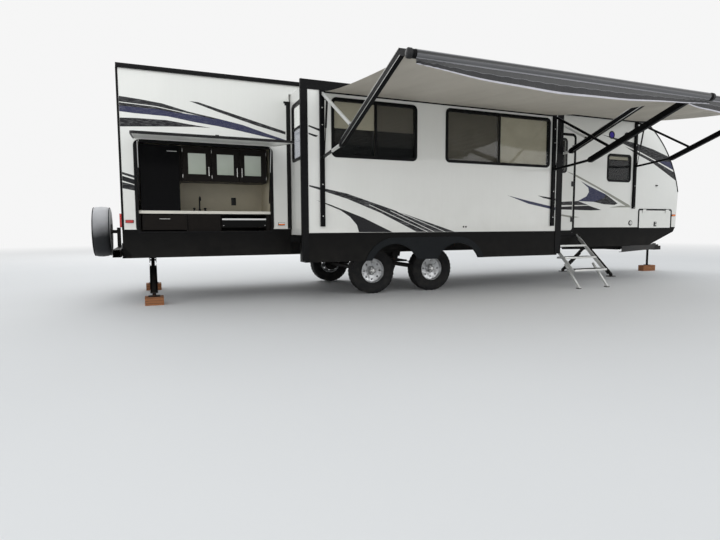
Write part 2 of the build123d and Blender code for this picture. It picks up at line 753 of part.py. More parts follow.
def rim(x, side):
    """A pressed wheel with slots, its hub and the brake drum behind it."""
    half = RIM_WIDTH / 2
    bore = SPINDLE_RADIUS + PIN_CLEARANCE
    drum_end = -half - DRUM_DEPTH + 10
    section = polygon(
        (bore, drum_end + 4),
        (DRUM_RADIUS, drum_end + 4),
        (DRUM_RADIUS, 0),
        (RIM_RADIUS - 22, 26),
        (RIM_RADIUS - 22, -half + 26),
        (RIM_RADIUS - RIM_WALL, -half + 16),
        (RIM_RADIUS - RIM_WALL, -half),
        (RIM_RADIUS, -half),
        (RIM_RADIUS, half),
        (RIM_RADIUS - RIM_WALL, half),
        (RIM_RADIUS - RIM_WALL, half - 16),
        (RIM_RADIUS - 16, half - 26),
        (RIM_RADIUS - 16, 34),
        (HUB_RADIUS + 12, 20),
        (HUB_RADIUS - 14, 34),
        (HUB_RADIUS - 14, 62),
        (HUB_RADIUS - 22, 70),
        (0, 70),
        (0, 40),
        (bore, 40),
    )
    wheel = revolve(Plane.XY * section, Axis.Y)
    slot_ring = (HUB_RADIUS + RIM_RADIUS) / 2 + 8
    for index in range(WHEEL_SLOTS):
        turn = Rot(0, index * 360 / WHEEL_SLOTS, 0)
        cutter = Pos(slot_ring, 20, 0) * Rot(90, 0, 0) * Cylinder(17, 36)
        wheel = wheel - turn * cutter
    if side < 0:
        wheel = Rot(0, 0, 180) * wheel
    return Pos(x, side * WHEEL_Y, TYRE_RADIUS) * wheel


# Tongue, jack, bumper and what stands on the ground

def tongue_arm():
    """One channel of the A-frame on the plus Y side, open to the inside."""
    length = (TONGUE_APEX_X - TONGUE_TAIL_X) / math.cos(TONGUE_SLOPE)
    section = rectangle(-TONGUE_WIDTH / 2, TONGUE_WIDTH / 2, 0, TONGUE_HEIGHT) - rectangle(
        -TONGUE_WIDTH / 2 - 1, TONGUE_WIDTH / 2 - TONGUE_WALL, TONGUE_WALL, TONGUE_HEIGHT - TONGUE_WALL
    )
    arm = extrude_x(section, 0, length)
    return Pos(TONGUE_TAIL_X, RAIL_Y, TONGUE_BOTTOM) * Rot(0, 0, -math.degrees(TONGUE_SLOPE)) * arm


def tongue_arms():
    """The two channels of the A-frame, cut to fit round the coupler."""
    ahead = block(TONGUE_APEX_X - 5, TONGUE_APEX_X + 200, -300, 300, 0, 900)
    past_middle = block(TONGUE_TAIL_X, TONGUE_APEX_X + 200, -300, 1, 0, 900)
    return both_sides(tongue_arm() - ahead - past_middle - coupler_body())


def tongue_fittings():
    """The bottle tray, the jack post with its head and plate, and the ball coupler."""
    tray_back = (TONGUE_APEX_X - BOTTLE_COVER_X + 10) * math.tan(TONGUE_SLOPE)
    tray_x1 = BOTTLE_COVER_X + BOTTLE_COVER[0] - 10
    tray_front = (TONGUE_APEX_X - tray_x1) * math.tan(TONGUE_SLOPE)
    tray_face = polygon(
        (BOTTLE_COVER_X, -tray_back),
        (tray_x1, -tray_front),
        (tray_x1, tray_front),
        (BOTTLE_COVER_X, tray_back),
    )
    tray = extrude_z(tray_face, TONGUE_TOP, TONGUE_TOP + 5)
    half = 120
    plate_face = polygon(
        (JACK_X - 110, -half), (TONGUE_APEX_X - 10, -40), (TONGUE_APEX_X - 10, 40), (JACK_X - 110, half)
    )
    plate = extrude_z(plate_face, TONGUE_TOP, TONGUE_TOP + 10)
    tube_bottom = TONGUE_BOTTOM - 30
    tube = Pos(JACK_X, 0, (tube_bottom + JACK_TUBE_TOP) / 2) * Cylinder(
        JACK_TUBE_RADIUS, JACK_TUBE_TOP - tube_bottom
    )
    head = block(JACK_X - 70, JACK_X + 110, -65, 65, JACK_TUBE_TOP - 20, JACK_TUBE_TOP + 120)
    head = fillet(head.edges().filter_by(Axis.Z), 30)
    bore_radius = JACK_LEG_RADIUS + PIN_CLEARANCE
    bore_top = JACK_TUBE_TOP - 30
    bore = Pos(JACK_X, 0, (tube_bottom + bore_top) / 2 - 1) * Cylinder(
        bore_radius, bore_top - tube_bottom + 2
    )
    return [tray, fuse([plate, tube, head]) - bore, coupler()]


def coupler_body():
    """The coupler's outer form, a wedge between the arms with a round nose."""
    low = TONGUE_BOTTOM - COUPLER_DROP
    high = TONGUE_BOTTOM + COUPLER_RISE
    nose = Pos(COUPLER_X, 0) * Circle(COUPLER_RADIUS)
    tail_x = TONGUE_APEX_X - 90
    wedge = polygon(
        (tail_x, -64), (COUPLER_X, -COUPLER_RADIUS), (COUPLER_X, COUPLER_RADIUS), (tail_x, 64)
    )
    return extrude_z(nose + wedge, low, high)


def coupler():
    """The ball coupler, with a round socket under its nose."""
    low = TONGUE_BOTTOM - COUPLER_DROP
    high = TONGUE_BOTTOM + COUPLER_RISE
    body = coupler_body()
    socket = Pos(COUPLER_X, 0, low + BALL_SEAT_DEPTH / 2 - 1) * Cylinder(BALL_RADIUS, BALL_SEAT_DEPTH + 2)
    dome = Pos(COUPLER_X, 0, low + BALL_SEAT_DEPTH) * Sphere(BALL_RADIUS - 0.5)
    latch = block(COUPLER_X - 120, COUPLER_X - 30, -12, 12, high, high + 34)
    return body - socket - dome + latch


def jack_leg():
    """The round leg that slides in the jack tube, with its foot."""
    foot_z = TONGUE_BLOCK[2] + GROUND_GAP
    leg = Pos(JACK_X, 0, foot_z + JACK_LEG_LENGTH / 2) * Cylinder(JACK_LEG_RADIUS, JACK_LEG_LENGTH)
    foot = Pos(JACK_X, 0, foot_z + JACK_FOOT_THICKNESS / 2) * Cylinder(
        JACK_FOOT_RADIUS, JACK_FOOT_THICKNESS
    )
    return leg + foot


def bottle_cover():
    """A moulded cover over the gas bottles, hollow and open below."""
    length, width, height = BOTTLE_COVER
    z0 = TONGUE_TOP + 5
    x0 = BOTTLE_COVER_X
    outer = block(x0, x0 + length, -width / 2, width / 2, z0, z0 + height)
    outer = fillet(outer.edges().filter_by(Axis.Z), 150)
    outer = fillet(outer.faces().sort_by(Axis.Z)[-1].edges(), 60)
    wall = 6
    half = width / 2 - wall
    inner = block(x0 + wall, x0 + length - wall, -half, half, z0 - 1, z0 + height - wall)
    inner = fillet(inner.edges().filter_by(Axis.Z), 144)
    inner = fillet(inner.faces().sort_by(Axis.Z)[-1].edges(), 54)
    return outer - inner


def rear_bumper():
    """A square tube bumper with the spare wheel's post and plate."""
    x1 = RAIL_REAR_X
    x0 = x1 - BUMPER_SIZE
    z0 = BUMPER_BOTTOM
    z1 = z0 + BUMPER_SIZE
    half = BUMPER_LENGTH / 2
    tube = block(x0, x1, -half, half, z0, z1)
    hollow = block(
        x0 + BUMPER_WALL, x1 - BUMPER_WALL, -half - 1, half + 1, z0 + BUMPER_WALL, z1 - BUMPER_WALL
    )
    post = block(x0, x0 + SPARE_POST, -SPARE_POST / 2, SPARE_POST / 2, z1 - 1, SPARE_Z + 60)
    arm = block(SPARE_X + 8, x0 + 1, -SPARE_POST / 2, SPARE_POST / 2, SPARE_Z - 25, SPARE_Z + 25)
    plate = block(SPARE_X, SPARE_X + 8, -110, 110, SPARE_Z - 110, SPARE_Z + 110)
    return fuse([tube - hollow, post, arm, plate])


def spare_cover():
    """The covered spare wheel, a short drum with rounded edges."""
    drum = Rot(0, 90, 0) * Cylinder(SPARE_RADIUS, SPARE_WIDTH)
    return Pos(SPARE_X - SPARE_WIDTH / 2, 0, SPARE_Z) * fillet(drum.edges(), 48)


def support_blocks():
    """Timber under the tongue jack and under the two rear stabiliser feet."""
    length, width, height = TONGUE_BLOCK
    parts = [block(JACK_X - length / 2, JACK_X + length / 2, -width / 2, width / 2, 0, height)]
    end, x, leg, stand = STABILISERS[0]
    foot_y = stabiliser_toe(leg, stand)[0]
    length, width = REAR_BLOCK
    for side in (-1, 1):
        y = side * foot_y
        parts.append(block(x - length / 2, x + length / 2, y - width / 2, y + width / 2, 0, stand))
    return parts


def stabiliser_toe(leg, stand):
    """Where the lower end of a leg's centre line is, as Y and Z on the plus side."""
    low_z = stand + GROUND_GAP + STABILISER_FOOT[2] + STABILISER_TOE_RISE
    drop = STABILISER_PIVOT_Z - low_z
    return STABILISER_PIVOT_Y + math.sqrt(leg**2 - drop**2), low_z


def stabiliser_leg(x, side, leg_length, stand):
    """A leg that swings about its upper pin, with a flat foot."""
    foot_y, low_z = stabiliser_toe(leg_length, stand)
    width, depth = STABILISER_SECTION
    start = (side * STABILISER_PIVOT_Y, STABILISER_PIVOT_Z)
    end = (side * foot_y, low_z)
    leg = bar(start, end, width, depth, x)
    eye = Pos(x, start[0], start[1]) * Rot(0, 90, 0) * Cylinder(depth / 2, width)
    toe = Pos(x, end[0], end[1]) * Rot(0, 90, 0) * Cylinder(depth / 2, width)
    bore = STABILISER_PIN_RADIUS + PIN_CLEARANCE
    hole = Pos(x, start[0], start[1]) * Rot(0, 90, 0) * Cylinder(bore, width)
    length, foot_depth, thickness = STABILISER_FOOT
    foot_z = stand + GROUND_GAP
    foot_top = foot_z + thickness
    y0 = end[0] - foot_depth / 2
    y1 = end[0] + foot_depth / 2
    foot = block(x - length / 2, x + length / 2, y0, y1, foot_z, foot_top)
    web = block(x - width / 2, x + width / 2, end[0] - 18, end[0] + 18, foot_top, low_z)
    return fuse([leg, eye, toe, foot, web]) - hole


# Slide-out room

def slide_front_wall():
    wall = block(
        SLIDE_X0, SLIDE_X1, SLIDE_FACE_Y, SLIDE_FACE_Y + SLIDE_WALL, SLIDE_WALL_BOTTOM, SLIDE_TOP
    )
    return cut_windows(wall, SLIDE_WINDOWS, SLIDE_FACE_Y - 10, SLIDE_FACE_Y + SLIDE_WALL + 10)


def slide_side_window():
    """The tall window in the slide-out room's rear-facing side, as Y and Z."""
    return (SLIDE_FACE_Y + 70, NEAR_Y - 90, 1960, 2750, ())


def slide_shell():
    """Side walls, roof and floor of the room, open inwards."""
    y0 = SLIDE_FACE_Y + SLIDE_WALL
    outer = block(SLIDE_X0, SLIDE_X1, y0, SLIDE_INNER_Y, SLIDE_BOTTOM, SLIDE_TOP)
    inner = block(
        SLIDE_X0 + SLIDE_WALL,
        SLIDE_X1 - SLIDE_WALL,
        y0 - 1,
        SLIDE_INNER_Y + 1,
        SLIDE_BOTTOM + SLIDE_FLOOR,
        SLIDE_TOP - SLIDE_WALL,
    )
    shell = outer - inner
    hole = rounded(*window_hole(slide_side_window()), WINDOW_CORNER - FRAME_LIP)
    return shell - extrude_x(hole, SLIDE_X0 - 10, SLIDE_X0 + SLIDE_WALL + 10)


def slide_flange():
    """The black frame round the room's outer face, which closes on the wall when it is in."""
    face_y = SLIDE_FACE_Y - FLANGE_FACE
    back_y = face_y + FLANGE_DEPTH
    x0 = FLANGE_LEFT[0]
    x1 = FLANGE_RIGHT[1]
    z1 = FLANGE_TOP[1]
    ring = rectangle(x0, x1, FLANGE_BOTTOM, z1) - rectangle(
        FLANGE_LEFT[1], FLANGE_RIGHT[0], FLANGE_BOTTOM - 1, FLANGE_TOP[0]
    )
    rim_face = rectangle(x0, x1, FLANGE_BOTTOM, z1) - rectangle(
        SLIDE_X0, SLIDE_X1, FLANGE_BOTTOM - 1, SLIDE_TOP
    )
    return extrude_y(ring, face_y, SLIDE_FACE_Y) + extrude_y(rim_face, SLIDE_FACE_Y, back_y)


def slide_skirt():
    """The room's black skirt with its two wheel arches and the moulded trim round them."""
    top = SLIDE_WALL_BOTTOM
    y0 = SLIDE_FACE_Y
    y1 = SLIDE_FACE_Y + SLIDE_SKIRT_THICKNESS
    outline = rectangle(SLIDE_X0, SLIDE_X1, SLIDE_SKIRT_BOTTOM, top)
    arches = [Pos(x, ARCH_Z) * Circle(ARCH_RADIUS) for x in AXLE_XS]
    for arch in arches:
        outline = outline - arch
    panel = extrude_y(outline, y0, y1)
    ledge = block(SLIDE_X0, SLIDE_X1, y1, SLIDE_FACE_Y + SLIDE_WALL, SLIDE_BOTTOM, top)
    trim_outline = Pos(AXLE_XS[0], ARCH_Z) * Circle(ARCH_TRIM_RADIUS)
    trim_outline = trim_outline + Pos(AXLE_XS[1], ARCH_Z) * Circle(ARCH_TRIM_RADIUS)
    trim_outline = trim_outline + rectangle(AXLE_XS[0], AXLE_XS[1], ARCH_Z, ARCH_Z + ARCH_TRIM_RADIUS)
    for arch in arches:
        trim_outline = trim_outline - arch
    below = rectangle(0, BODY_WIDTH * 5, -2000, SLIDE_SKIRT_BOTTOM)
    trim = extrude_y(trim_outline - below, y0 - ARCH_TRIM_PROUD, y0)
    returns = []
    for x, inward in ((SLIDE_X0, 1), (SLIDE_X1, -1)):
        returns.append(
            block(x, x + inward * 15, y1, y1 + SLIDE_SKIRT_RETURN, SLIDE_SKIRT_BOTTOM, SLIDE_RETURN_TOP)
        )
    return fuse([panel, ledge, trim] + returns)


# Doors, lids and steps

def hinge_knuckle(x, y, z, length, upright=False):
    """A bored knuckle on a hinge's moving leaf."""
    tube = Cylinder(HINGE_KNUCKLE_RADIUS, length) - Cylinder(HINGE_PIN_RADIUS + PIN_CLEARANCE, length)
    turn = Rot(0, 0, 0) if upright else Rot(0, 90, 0)
    return Pos(x, y, z) * turn * tube


def hinge_seat(x, y, z, length, face_y, upright=False):
    """A hinge's fixed pin and the two lugs that carry it from a face behind it."""
    reach = length / 2 + HINGE_LUG_GAP
    side = HINGE_KNUCKLE_RADIUS - 1
    pin = Cylinder(HINGE_PIN_RADIUS, 2 * reach + 2 * HINGE_LUG)
    turn = Rot(0, 0, 0) if upright else Rot(0, 90, 0)
    pieces = [Pos(x, y, z) * turn * pin]
    for low in (-reach - HINGE_LUG, reach):
        high = low + HINGE_LUG
        if upright:
            pieces.append(block(x - side, x + side, y - side, face_y, z + low, z + high))
        else:
            pieces.append(block(x + low, x + high, y - side, face_y, z - side, z + side))
    return fuse(pieces)


def baggage_hinge_xs():
    """Where the two hinges of the baggage door are."""
    inset = BAGGAGE_FRAME + DOOR_GAP + 120
    return (BAGGAGE[0] + inset, BAGGAGE[1] - inset)


def opening_frames():
    """Rings round the entry door, the baggage door and the kitchen bay, and the step bracket."""
    parts = []
    for size, band, corner, lap in (
        (DOOR, DOOR_FRAME, DOOR_CORNER, 20),
        (BAGGAGE, BAGGAGE_FRAME, BAGGAGE_CORNER, 14),
    ):
        inner = (size[0] + band, size[1] - band, size[2] + band, size[3] - band)
        hole = (size[0] + lap, size[1] - lap, size[2] + lap, size[3] - lap)
        inner_face = rounded(*inner, corner - band + 4)
        ring = rounded(*size, corner) - inner_face
        sleeve = rounded(*hole, corner - lap) - inner_face
        face = extrude_y(ring, NEAR_Y - FRAME_FACE, NEAR_Y)
        parts.append(face + extrude_y(sleeve, NEAR_Y, NEAR_Y + WALL_THICKNESS))
    face_y = NEAR_Y - FRAME_FACE
    for z in DOOR_HINGE_ZS:
        parts[0] = parts[0] + hinge_seat(*DOOR_PIN, z, HINGE_LENGTH, face_y, upright=True)
    for x in baggage_hinge_xs():
        parts[1] = parts[1] + hinge_seat(x, *BAGGAGE_PIN, HINGE_LENGTH, face_y)
    inner_corner = KITCHEN_CORNER - KITCHEN_FRAME
    ring = rounded(*KITCHEN, KITCHEN_CORNER) - rounded(*kitchen_liner_box(0), inner_corner)
    rail_top = HATCH_PIN_Z + HINGE_KNUCKLE_RADIUS
    ring = ring + rectangle(KITCHEN[0] + 100, KITCHEN[1] - 100, KITCHEN[3] - 10, rail_top)
    bay_frame = extrude_y(ring, NEAR_Y - KITCHEN_FACE, NEAR_Y)
    for x in HATCH_HINGE_XS:
        seat = hinge_seat(x, HATCH_PIN_Y, HATCH_PIN_Z, HATCH_HINGE_LENGTH, NEAR_Y - KITCHEN_FACE)
        bay_frame = bay_frame + seat
    return parts + [bay_frame, step_hanger()]


def entry_door():
    """The door leaf with its window hole, edge knuckles and handle."""
    band = DOOR_FRAME + DOOR_GAP
    size = (DOOR[0] + band, DOOR[1] - band, DOOR[2] + band, DOOR[3] - band)
    y0 = NEAR_Y - FRAME_FACE + 4
    leaf = extrude_y(rounded(*size, DOOR_CORNER - DOOR_FRAME), y0, y0 + DOOR_THICKNESS)
    hole = rounded(*window_pane(DOOR_WINDOW + ((),)), WINDOW_CORNER - FRAME_LIP - FRAME_SLEEVE)
    leaf = leaf - extrude_y(hole, y0 - 10, y0 + DOOR_THICKNESS + 10)
    ring = rounded(*DOOR_WINDOW, WINDOW_CORNER) - hole
    leaf = leaf + extrude_y(ring, y0 - FRAME_FACE, y0)
    pieces = [leaf]
    half = HINGE_LENGTH / 2
    for z in DOOR_HINGE_ZS:
        knuckle = hinge_knuckle(*DOOR_PIN, z, HINGE_LENGTH, upright=True)
        tab = block(size[1] - 45, size[1] - 3, DOOR_PIN[1], y0, z - half, z + half)
        edge = DOOR_PIN[0] - HINGE_PIN_RADIUS - 1
        link = block(size[1] - 5, edge, DOOR_PIN[1], DOOR_PIN[1] + 6, z - half, z + half)
        pieces += [knuckle, tab, link]
    handle = block(size[0] + 25, size[0] + 105, y0 - 12, y0, 1690, 1850)
    grip = block(size[0] + 45, size[0] + 85, y0 - 40, y0 - 10, 1720, 1820)
    return fuse(pieces + [handle, grip])


def entry_door_glass():
    hole = rounded(*window_pane(DOOR_WINDOW + ((),)), WINDOW_CORNER - FRAME_LIP - FRAME_SLEEVE)
    y0 = NEAR_Y - FRAME_FACE + 4 + 10
    return extrude_y(hole, y0, y0 + GLASS_THICKNESS)


def baggage_door():
    """The top-hinged baggage door with its latch."""
    band = BAGGAGE_FRAME + DOOR_GAP
    size = (BAGGAGE[0] + band, BAGGAGE[1] - band, BAGGAGE[2] + band, BAGGAGE[3] - band)
    y0 = NEAR_Y - FRAME_FACE + 3
    leaf = extrude_y(rounded(*size, BAGGAGE_CORNER - BAGGAGE_FRAME), y0, y0 + BAGGAGE_THICKNESS)
    middle = (size[0] + size[1]) / 2
    latch = block(middle - 32, middle + 32, y0 - 10, y0, size[2] + 30, size[2] + 120)
    pieces = [leaf, latch]
    for x in baggage_hinge_xs():
        knuckle = hinge_knuckle(x, *BAGGAGE_PIN, HINGE_LENGTH)
        x0 = x - HINGE_LENGTH / 2
        x1 = x + HINGE_LENGTH / 2
        tab = block(x0, x1, BAGGAGE_PIN[0], y0, size[3] - 45, size[3] - 3)
        edge = BAGGAGE_PIN[1] - HINGE_PIN_RADIUS - 1
        link = block(x0, x1, BAGGAGE_PIN[0], BAGGAGE_PIN[0] + 6, size[3] - 5, edge)
        pieces += [knuckle, tab, link]
    return fuse(pieces)


def hatch_turn(part):
    """Turns a piece drawn on the closed kitchen lid to where the open lid is."""
    back = Pos(0, HATCH_PIN_Y, HATCH_PIN_Z)
    return back * Rot(-HATCH_OPEN, 0, 0) * Pos(0, -HATCH_PIN_Y, -HATCH_PIN_Z) * part


def strut_xs():
    clear = kitchen_liner_box(0)
    inset = STRUT_TUBE_RADIUS + STRUT_SIDE_GAP
    return (clear[0] + inset, clear[1] - inset)


def kitchen_hatch():
    """The kitchen lid, a flat panel with a rim, drawn closed and turned open."""
    y0 = HATCH_PIN_Y - HATCH_THICKNESS / 2
    y1 = HATCH_PIN_Y + HATCH_THICKNESS / 2
    panel = extrude_y(rounded(*KITCHEN, KITCHEN_CORNER), y0, y1)
    rim = HATCH_RIM
    recess_size = (KITCHEN[0] + rim, KITCHEN[1] - rim, KITCHEN[2] + rim, KITCHEN[3] - rim)
    recess = rounded(*recess_size, KITCHEN_CORNER - rim)
    panel = panel - extrude_y(recess, y1 - 6, y1)
    pieces = [panel]
    half = HATCH_HINGE_LENGTH / 2
    web_top = HATCH_PIN_Z - HINGE_PIN_RADIUS - 1
    for x in HATCH_HINGE_XS:
        knuckle = hinge_knuckle(x, HATCH_PIN_Y, HATCH_PIN_Z, HATCH_HINGE_LENGTH)
        web = block(x - half, x + half, HATCH_PIN_Y - 5, HATCH_PIN_Y + 5, KITCHEN[3] - 5, web_top)
        pieces += [knuckle, web]
    eye_z = HATCH_PIN_Z - STRUT_REACH
    for x, side in zip(strut_xs(), (1, -1)):
        ear_x = x + side * STRUT_EAR_OFFSET
        eye_y = HATCH_PIN_Y + STRUT_STANDOFF
        ear = block(ear_x - 2, ear_x + 2, y1 - 8, eye_y + 8, eye_z - 12, eye_z + 12)
        foot = block(ear_x - 8, ear_x + 8, y1 - 8, y1 - 2, eye_z - 16, eye_z + 16)
        pieces += [ear, foot]
    latch_x = (KITCHEN[0] + KITCHEN[1]) / 2
    latch = block(latch_x - 20, latch_x + 20, y0 - 10, y0, KITCHEN[2] + 25, KITCHEN[2] + 110)
    pieces.append(latch)
    return hatch_turn(fuse(pieces))


def strut_eye():
    """The lid's strut pin with the lid open, as Y and Z."""
    lean = math.radians(HATCH_OPEN)
    y = HATCH_PIN_Y - STRUT_REACH * math.sin(lean) + STRUT_STANDOFF * math.cos(lean)
    z = HATCH_PIN_Z - STRUT_REACH * math.cos(lean) - STRUT_STANDOFF * math.sin(lean)
    return y, z


def strut_point(distance):
    """A point on the strut's axis at a distance from its lower pivot, as Y and Z."""
    y, z = strut_eye()
    dy = y - STRUT_PIVOT[0]
    dz = z - STRUT_PIVOT[1]
    length = math.hypot(dy, dz)
    return STRUT_PIVOT[0] + dy * distance / length, STRUT_PIVOT[1] + dz * distance / length


def strut_length():
    y, z = strut_eye()
    return math.hypot(y - STRUT_PIVOT[0], z - STRUT_PIVOT[1])


def hatch_strut_tubes():
    """The lower tube of each gas strut, with its bore and ball end."""
    parts = []
    stud_bore = STRUT_STUD_RADIUS + PIN_CLEARANCE
    for x in strut_xs():
        low = (x, *strut_point(20))
        deep = (x, *strut_point(40))
        high = (x, *strut_point(STRUT_TUBE_LENGTH))
        tube = rod(low, high, STRUT_TUBE_RADIUS) - rod(deep, high, STRUT_ROD_RADIUS + PIN_CLEARANCE)
        ball = Pos(x, *STRUT_PIVOT) * Sphere(STRUT_BALL_RADIUS)
        neck = rod((x, *STRUT_PIVOT), low, 6)
        stud = Pos(x, *STRUT_PIVOT) * Rot(0, 90, 0) * Cylinder(stud_bore, 4 * STRUT_BALL_RADIUS)
        parts.append(fuse([tube, ball, neck]) - stud)
    return parts


def hatch_strut_rods():
    parts = []
    length = strut_length()
    for x in strut_xs():
        low = (x, *strut_point(STRUT_TUBE_LENGTH - STRUT_ROD_INSIDE))
        high = (x, *strut_point(length - 4))
        parts.append(rod(low, high, STRUT_ROD_RADIUS))
    return parts


def entry_steps():
    """Light alloy steps that hang on a pin at the sill and stand on two adjustable legs."""
    x0, x1 = STEP_X
    pin = (STEP_PIN_Y, STEP_PIN_Z)
    last = STEP_TREADS[-1]
    end = (NEAR_Y - last[0] - 60, last[1] - 40)
    neck = [pin[0] + STEP_NECK * (end[0] - pin[0]), pin[1] + STEP_NECK * (end[1] - pin[1])]
    head = (NEAR_Y - STEP_LEG_HEAD[0], STEP_LEG_HEAD[1])
    toe = (NEAR_Y - STEP_LEG_FOOT[0], STEP_LEG_FOOT[1] + STEP_FOOT_HEIGHT)
    pieces = []
    for x, side in ((x0, 1), (x1, -1)):
        middle = x + side * STEP_PLATE / 2
        inset = x + side * STEP_LEG_INSET
        pieces += [
            bar(pin, neck, STEP_PLATE, 2 * STEP_EYE_RADIUS, middle),
            bar(neck, end, STEP_PLATE, STEP_STRINGER, middle),
            Pos(middle, *pin) * Rot(0, 90, 0) * Cylinder(STEP_EYE_RADIUS, STEP_PLATE),
            bar(head, toe, STEP_LEG_SECTION, STEP_LEG_SECTION, inset),
            block(inset - 24, inset + 24, toe[0] - 34, toe[0] + 34, GROUND_GAP, STEP_FOOT_HEIGHT + 6),
        ]
    for out, z in STEP_TREADS:
        y = NEAR_Y - out
        half = STEP_TREAD_DEPTH / 2
        pieces.append(block(x0, x1, y - half, y + half, z - STEP_TREAD_THICKNESS, z))
    bore = Pos((x0 + x1) / 2, *pin) * Rot(0, 90, 0) * Cylinder(STEP_PIN_RADIUS + PIN_CLEARANCE, x1 - x0)
    return fuse(pieces) - bore


def step_hanger():
    """The sill bracket and pin that the steps hang on."""
    x0, x1 = STEP_X
    inset = STEP_PLATE + 6
    plate = block(x0 + inset, x1 - inset, NEAR_Y - 10, NEAR_Y, STEP_PIN_Z - 28, STEP_PIN_Z + 28)
    pin = Pos((x0 + x1) / 2, STEP_PIN_Y, STEP_PIN_Z) * Rot(0, 90, 0) * Cylinder(STEP_PIN_RADIUS, x1 - x0)
    ears = []
    for x in (x0 + inset, x1 - inset - 8):
        ears.append(block(x, x + 8, STEP_PIN_Y - 10, NEAR_Y, STEP_PIN_Z - 12, STEP_PIN_Z + 12))
    return fuse([plate, pin] + ears)


# Kitchen bay

def kitchen_bay():
    """The liner of the bay, open to the near side, with a stud for each strut's lower end."""
    outer = rounded(*kitchen_liner_box(-KITCHEN_LINER), KITCHEN_LINER_CORNER)
    inner = kitchen_liner_box(0)
    back = NEAR_Y + KITCHEN_DEPTH
    liner = extrude_y(outer, NEAR_Y, back)
    liner = liner - extrude_y(rectangle(*inner), NEAR_Y, back - KITCHEN_LINER)
    shelves = []
    for x, wall_x in zip(strut_xs(), inner[:2]):
        side = 1 if x > wall_x else -1
        stud = rod((wall_x, *STRUT_PIVOT), (x + side * STRUT_BALL_RADIUS, *STRUT_PIVOT), STRUT_STUD_RADIUS)
        shelves.append(stud)
    return fuse([liner] + shelves)


def kitchen_cabinets():
    """Upper cabinet, base cabinet and the fridge's open cabinet, one joined carcass."""
    clear = kitchen_liner_box(0)
    back = NEAR_Y + KITCHEN_DEPTH - KITCHEN_LINER
    front = CABINET_FRONT_Y + PANEL_THICKNESS
    t = PANEL_THICKNESS
    upper = block(UPPER_X[0], UPPER_X[1], front, front + UPPER_DEPTH, UPPER_Z[0], UPPER_Z[1])
    hollow = block(
        UPPER_X[0] + t, UPPER_X[1] - t, front - 1, front + UPPER_DEPTH - t, UPPER_Z[0] + t, UPPER_Z[1] - t
    )
    upper = upper - hollow
    divider_x = (UPPER_DOORS[0][1] + UPPER_DOORS[1][0]) / 2
    upper = upper + block(
        divider_x - t / 2, divider_x + t / 2, front, front + UPPER_DEPTH, UPPER_Z[0], UPPER_Z[1]
    )
    upper = upper + block(UPPER_X[0], UPPER_X[1], front + UPPER_DEPTH - t, back, UPPER_Z[1] - t, UPPER_Z[1])
    fridge = block(FRIDGE_X[0], FRIDGE_X[1], front + 26, back, COUNTER_TOP, UPPER_Z[1])
    cavity = block(
        FRIDGE_X[0] + 35, FRIDGE_X[1] - 35, front + 20, back - 60, COUNTER_TOP + 40, UPPER_Z[1] - 40
    )
    fridge = fridge - cavity
    link = block(FRIDGE_X[1] - 1, UPPER_X[0] + 1, front + 26, back, UPPER_Z[0], UPPER_Z[1])
    hinges = [upper_hinge_seat(x0, x1, hand, z) for x0, x1, hand in UPPER_DOORS for z in upper_hinge_zs()]
    pin_x, pin_y = fridge_pin()
    brackets = []
    low, high = fridge_door_zs()
    for z0, z1, tip in ((COUNTER_TOP, low - 1, low + 12), (high + 1, UPPER_Z[1], high - 12)):
        brackets.append(block(FRIDGE_X[0], pin_x + 14, pin_y - 7, front + 26, z0, z1))
        pin_top = max(z1, tip)
        pin_low = min(z0, tip)
        pin = Pos(pin_x, pin_y, (pin_low + pin_top) / 2) * Cylinder(HINGE_PIN_RADIUS, pin_top - pin_low)
        brackets.append(pin)
    base_top = COUNTER_TOP - COUNTER_THICKNESS
    z0 = clear[2]
    base = []
    for x in (clear[0], DRAWER_X[1] + 2, MIDDLE_X[1] + 4, TRAY_X[1] + 6):
        base.append(block(x, x + t, front, back, z0, base_top))
    base.append(block(clear[0], clear[1], front, front + t, base_top - 14, base_top))
    base.append(block(clear[0], clear[1], back - t, back, z0, base_top))
    base.append(block(TRAY_X[1] + 6, clear[1], front - t, front, z0, base_top))
    base.append(block(MIDDLE_X[0], MIDDLE_X[1], front - t, front, z0, base_top))
    runner_z = DRAWER_Z[0] + 6
    for x0, x1 in ((clear[0] + t, DRAWER_X[0] + 20), (DRAWER_X[1] - 20, DRAWER_X[1] + 2)):
        base.append(block(x0, x1, front + t, back - t, runner_z - 10, runner_z))
    shelf_z = TRAY_Z[0]
    base.append(block(MIDDLE_X[1] + 4, TRAY_X[1] + 8, front, back - t, shelf_z - 12, shelf_z - GLIDE_GAP))
    return [fuse([upper, fridge, link] + brackets + hinges), fuse(base)]


def kitchen_counter():
    """The worktop with its sink bowl."""
    clear = kitchen_liner_box(0)
    back = NEAR_Y + KITCHEN_DEPTH - KITCHEN_LINER
    top = block(clear[0], clear[1], COUNTER_FRONT_Y, back, COUNTER_TOP - COUNTER_THICKNESS, COUNTER_TOP)
    wall = SINK_WALL
    outer = (SINK_X[0] - wall, SINK_X[1] + wall, SINK_Y[0] - wall, SINK_Y[1] + wall)
    floor_z = COUNTER_TOP - SINK_DEPTH
    bowl = extrude_z(rounded(*outer, SINK_CORNER + wall), floor_z - wall, COUNTER_TOP - wall)
    hole = extrude_z(rounded(*SINK_X, *SINK_Y, SINK_CORNER), floor_z, COUNTER_TOP)
    return top + bowl - hole


def fridge_pin():
    """The fridge door's hinge line, as X and Y."""
    front = CABINET_FRONT_Y + PANEL_THICKNESS + 24 - FRIDGE_DOOR
    return FRIDGE_X[0] + 3 + FRIDGE_PIN_INSET, front + FRIDGE_PIN_INSET


def fridge_door_zs():
    return COUNTER_TOP + 8, UPPER_Z[1] - 6


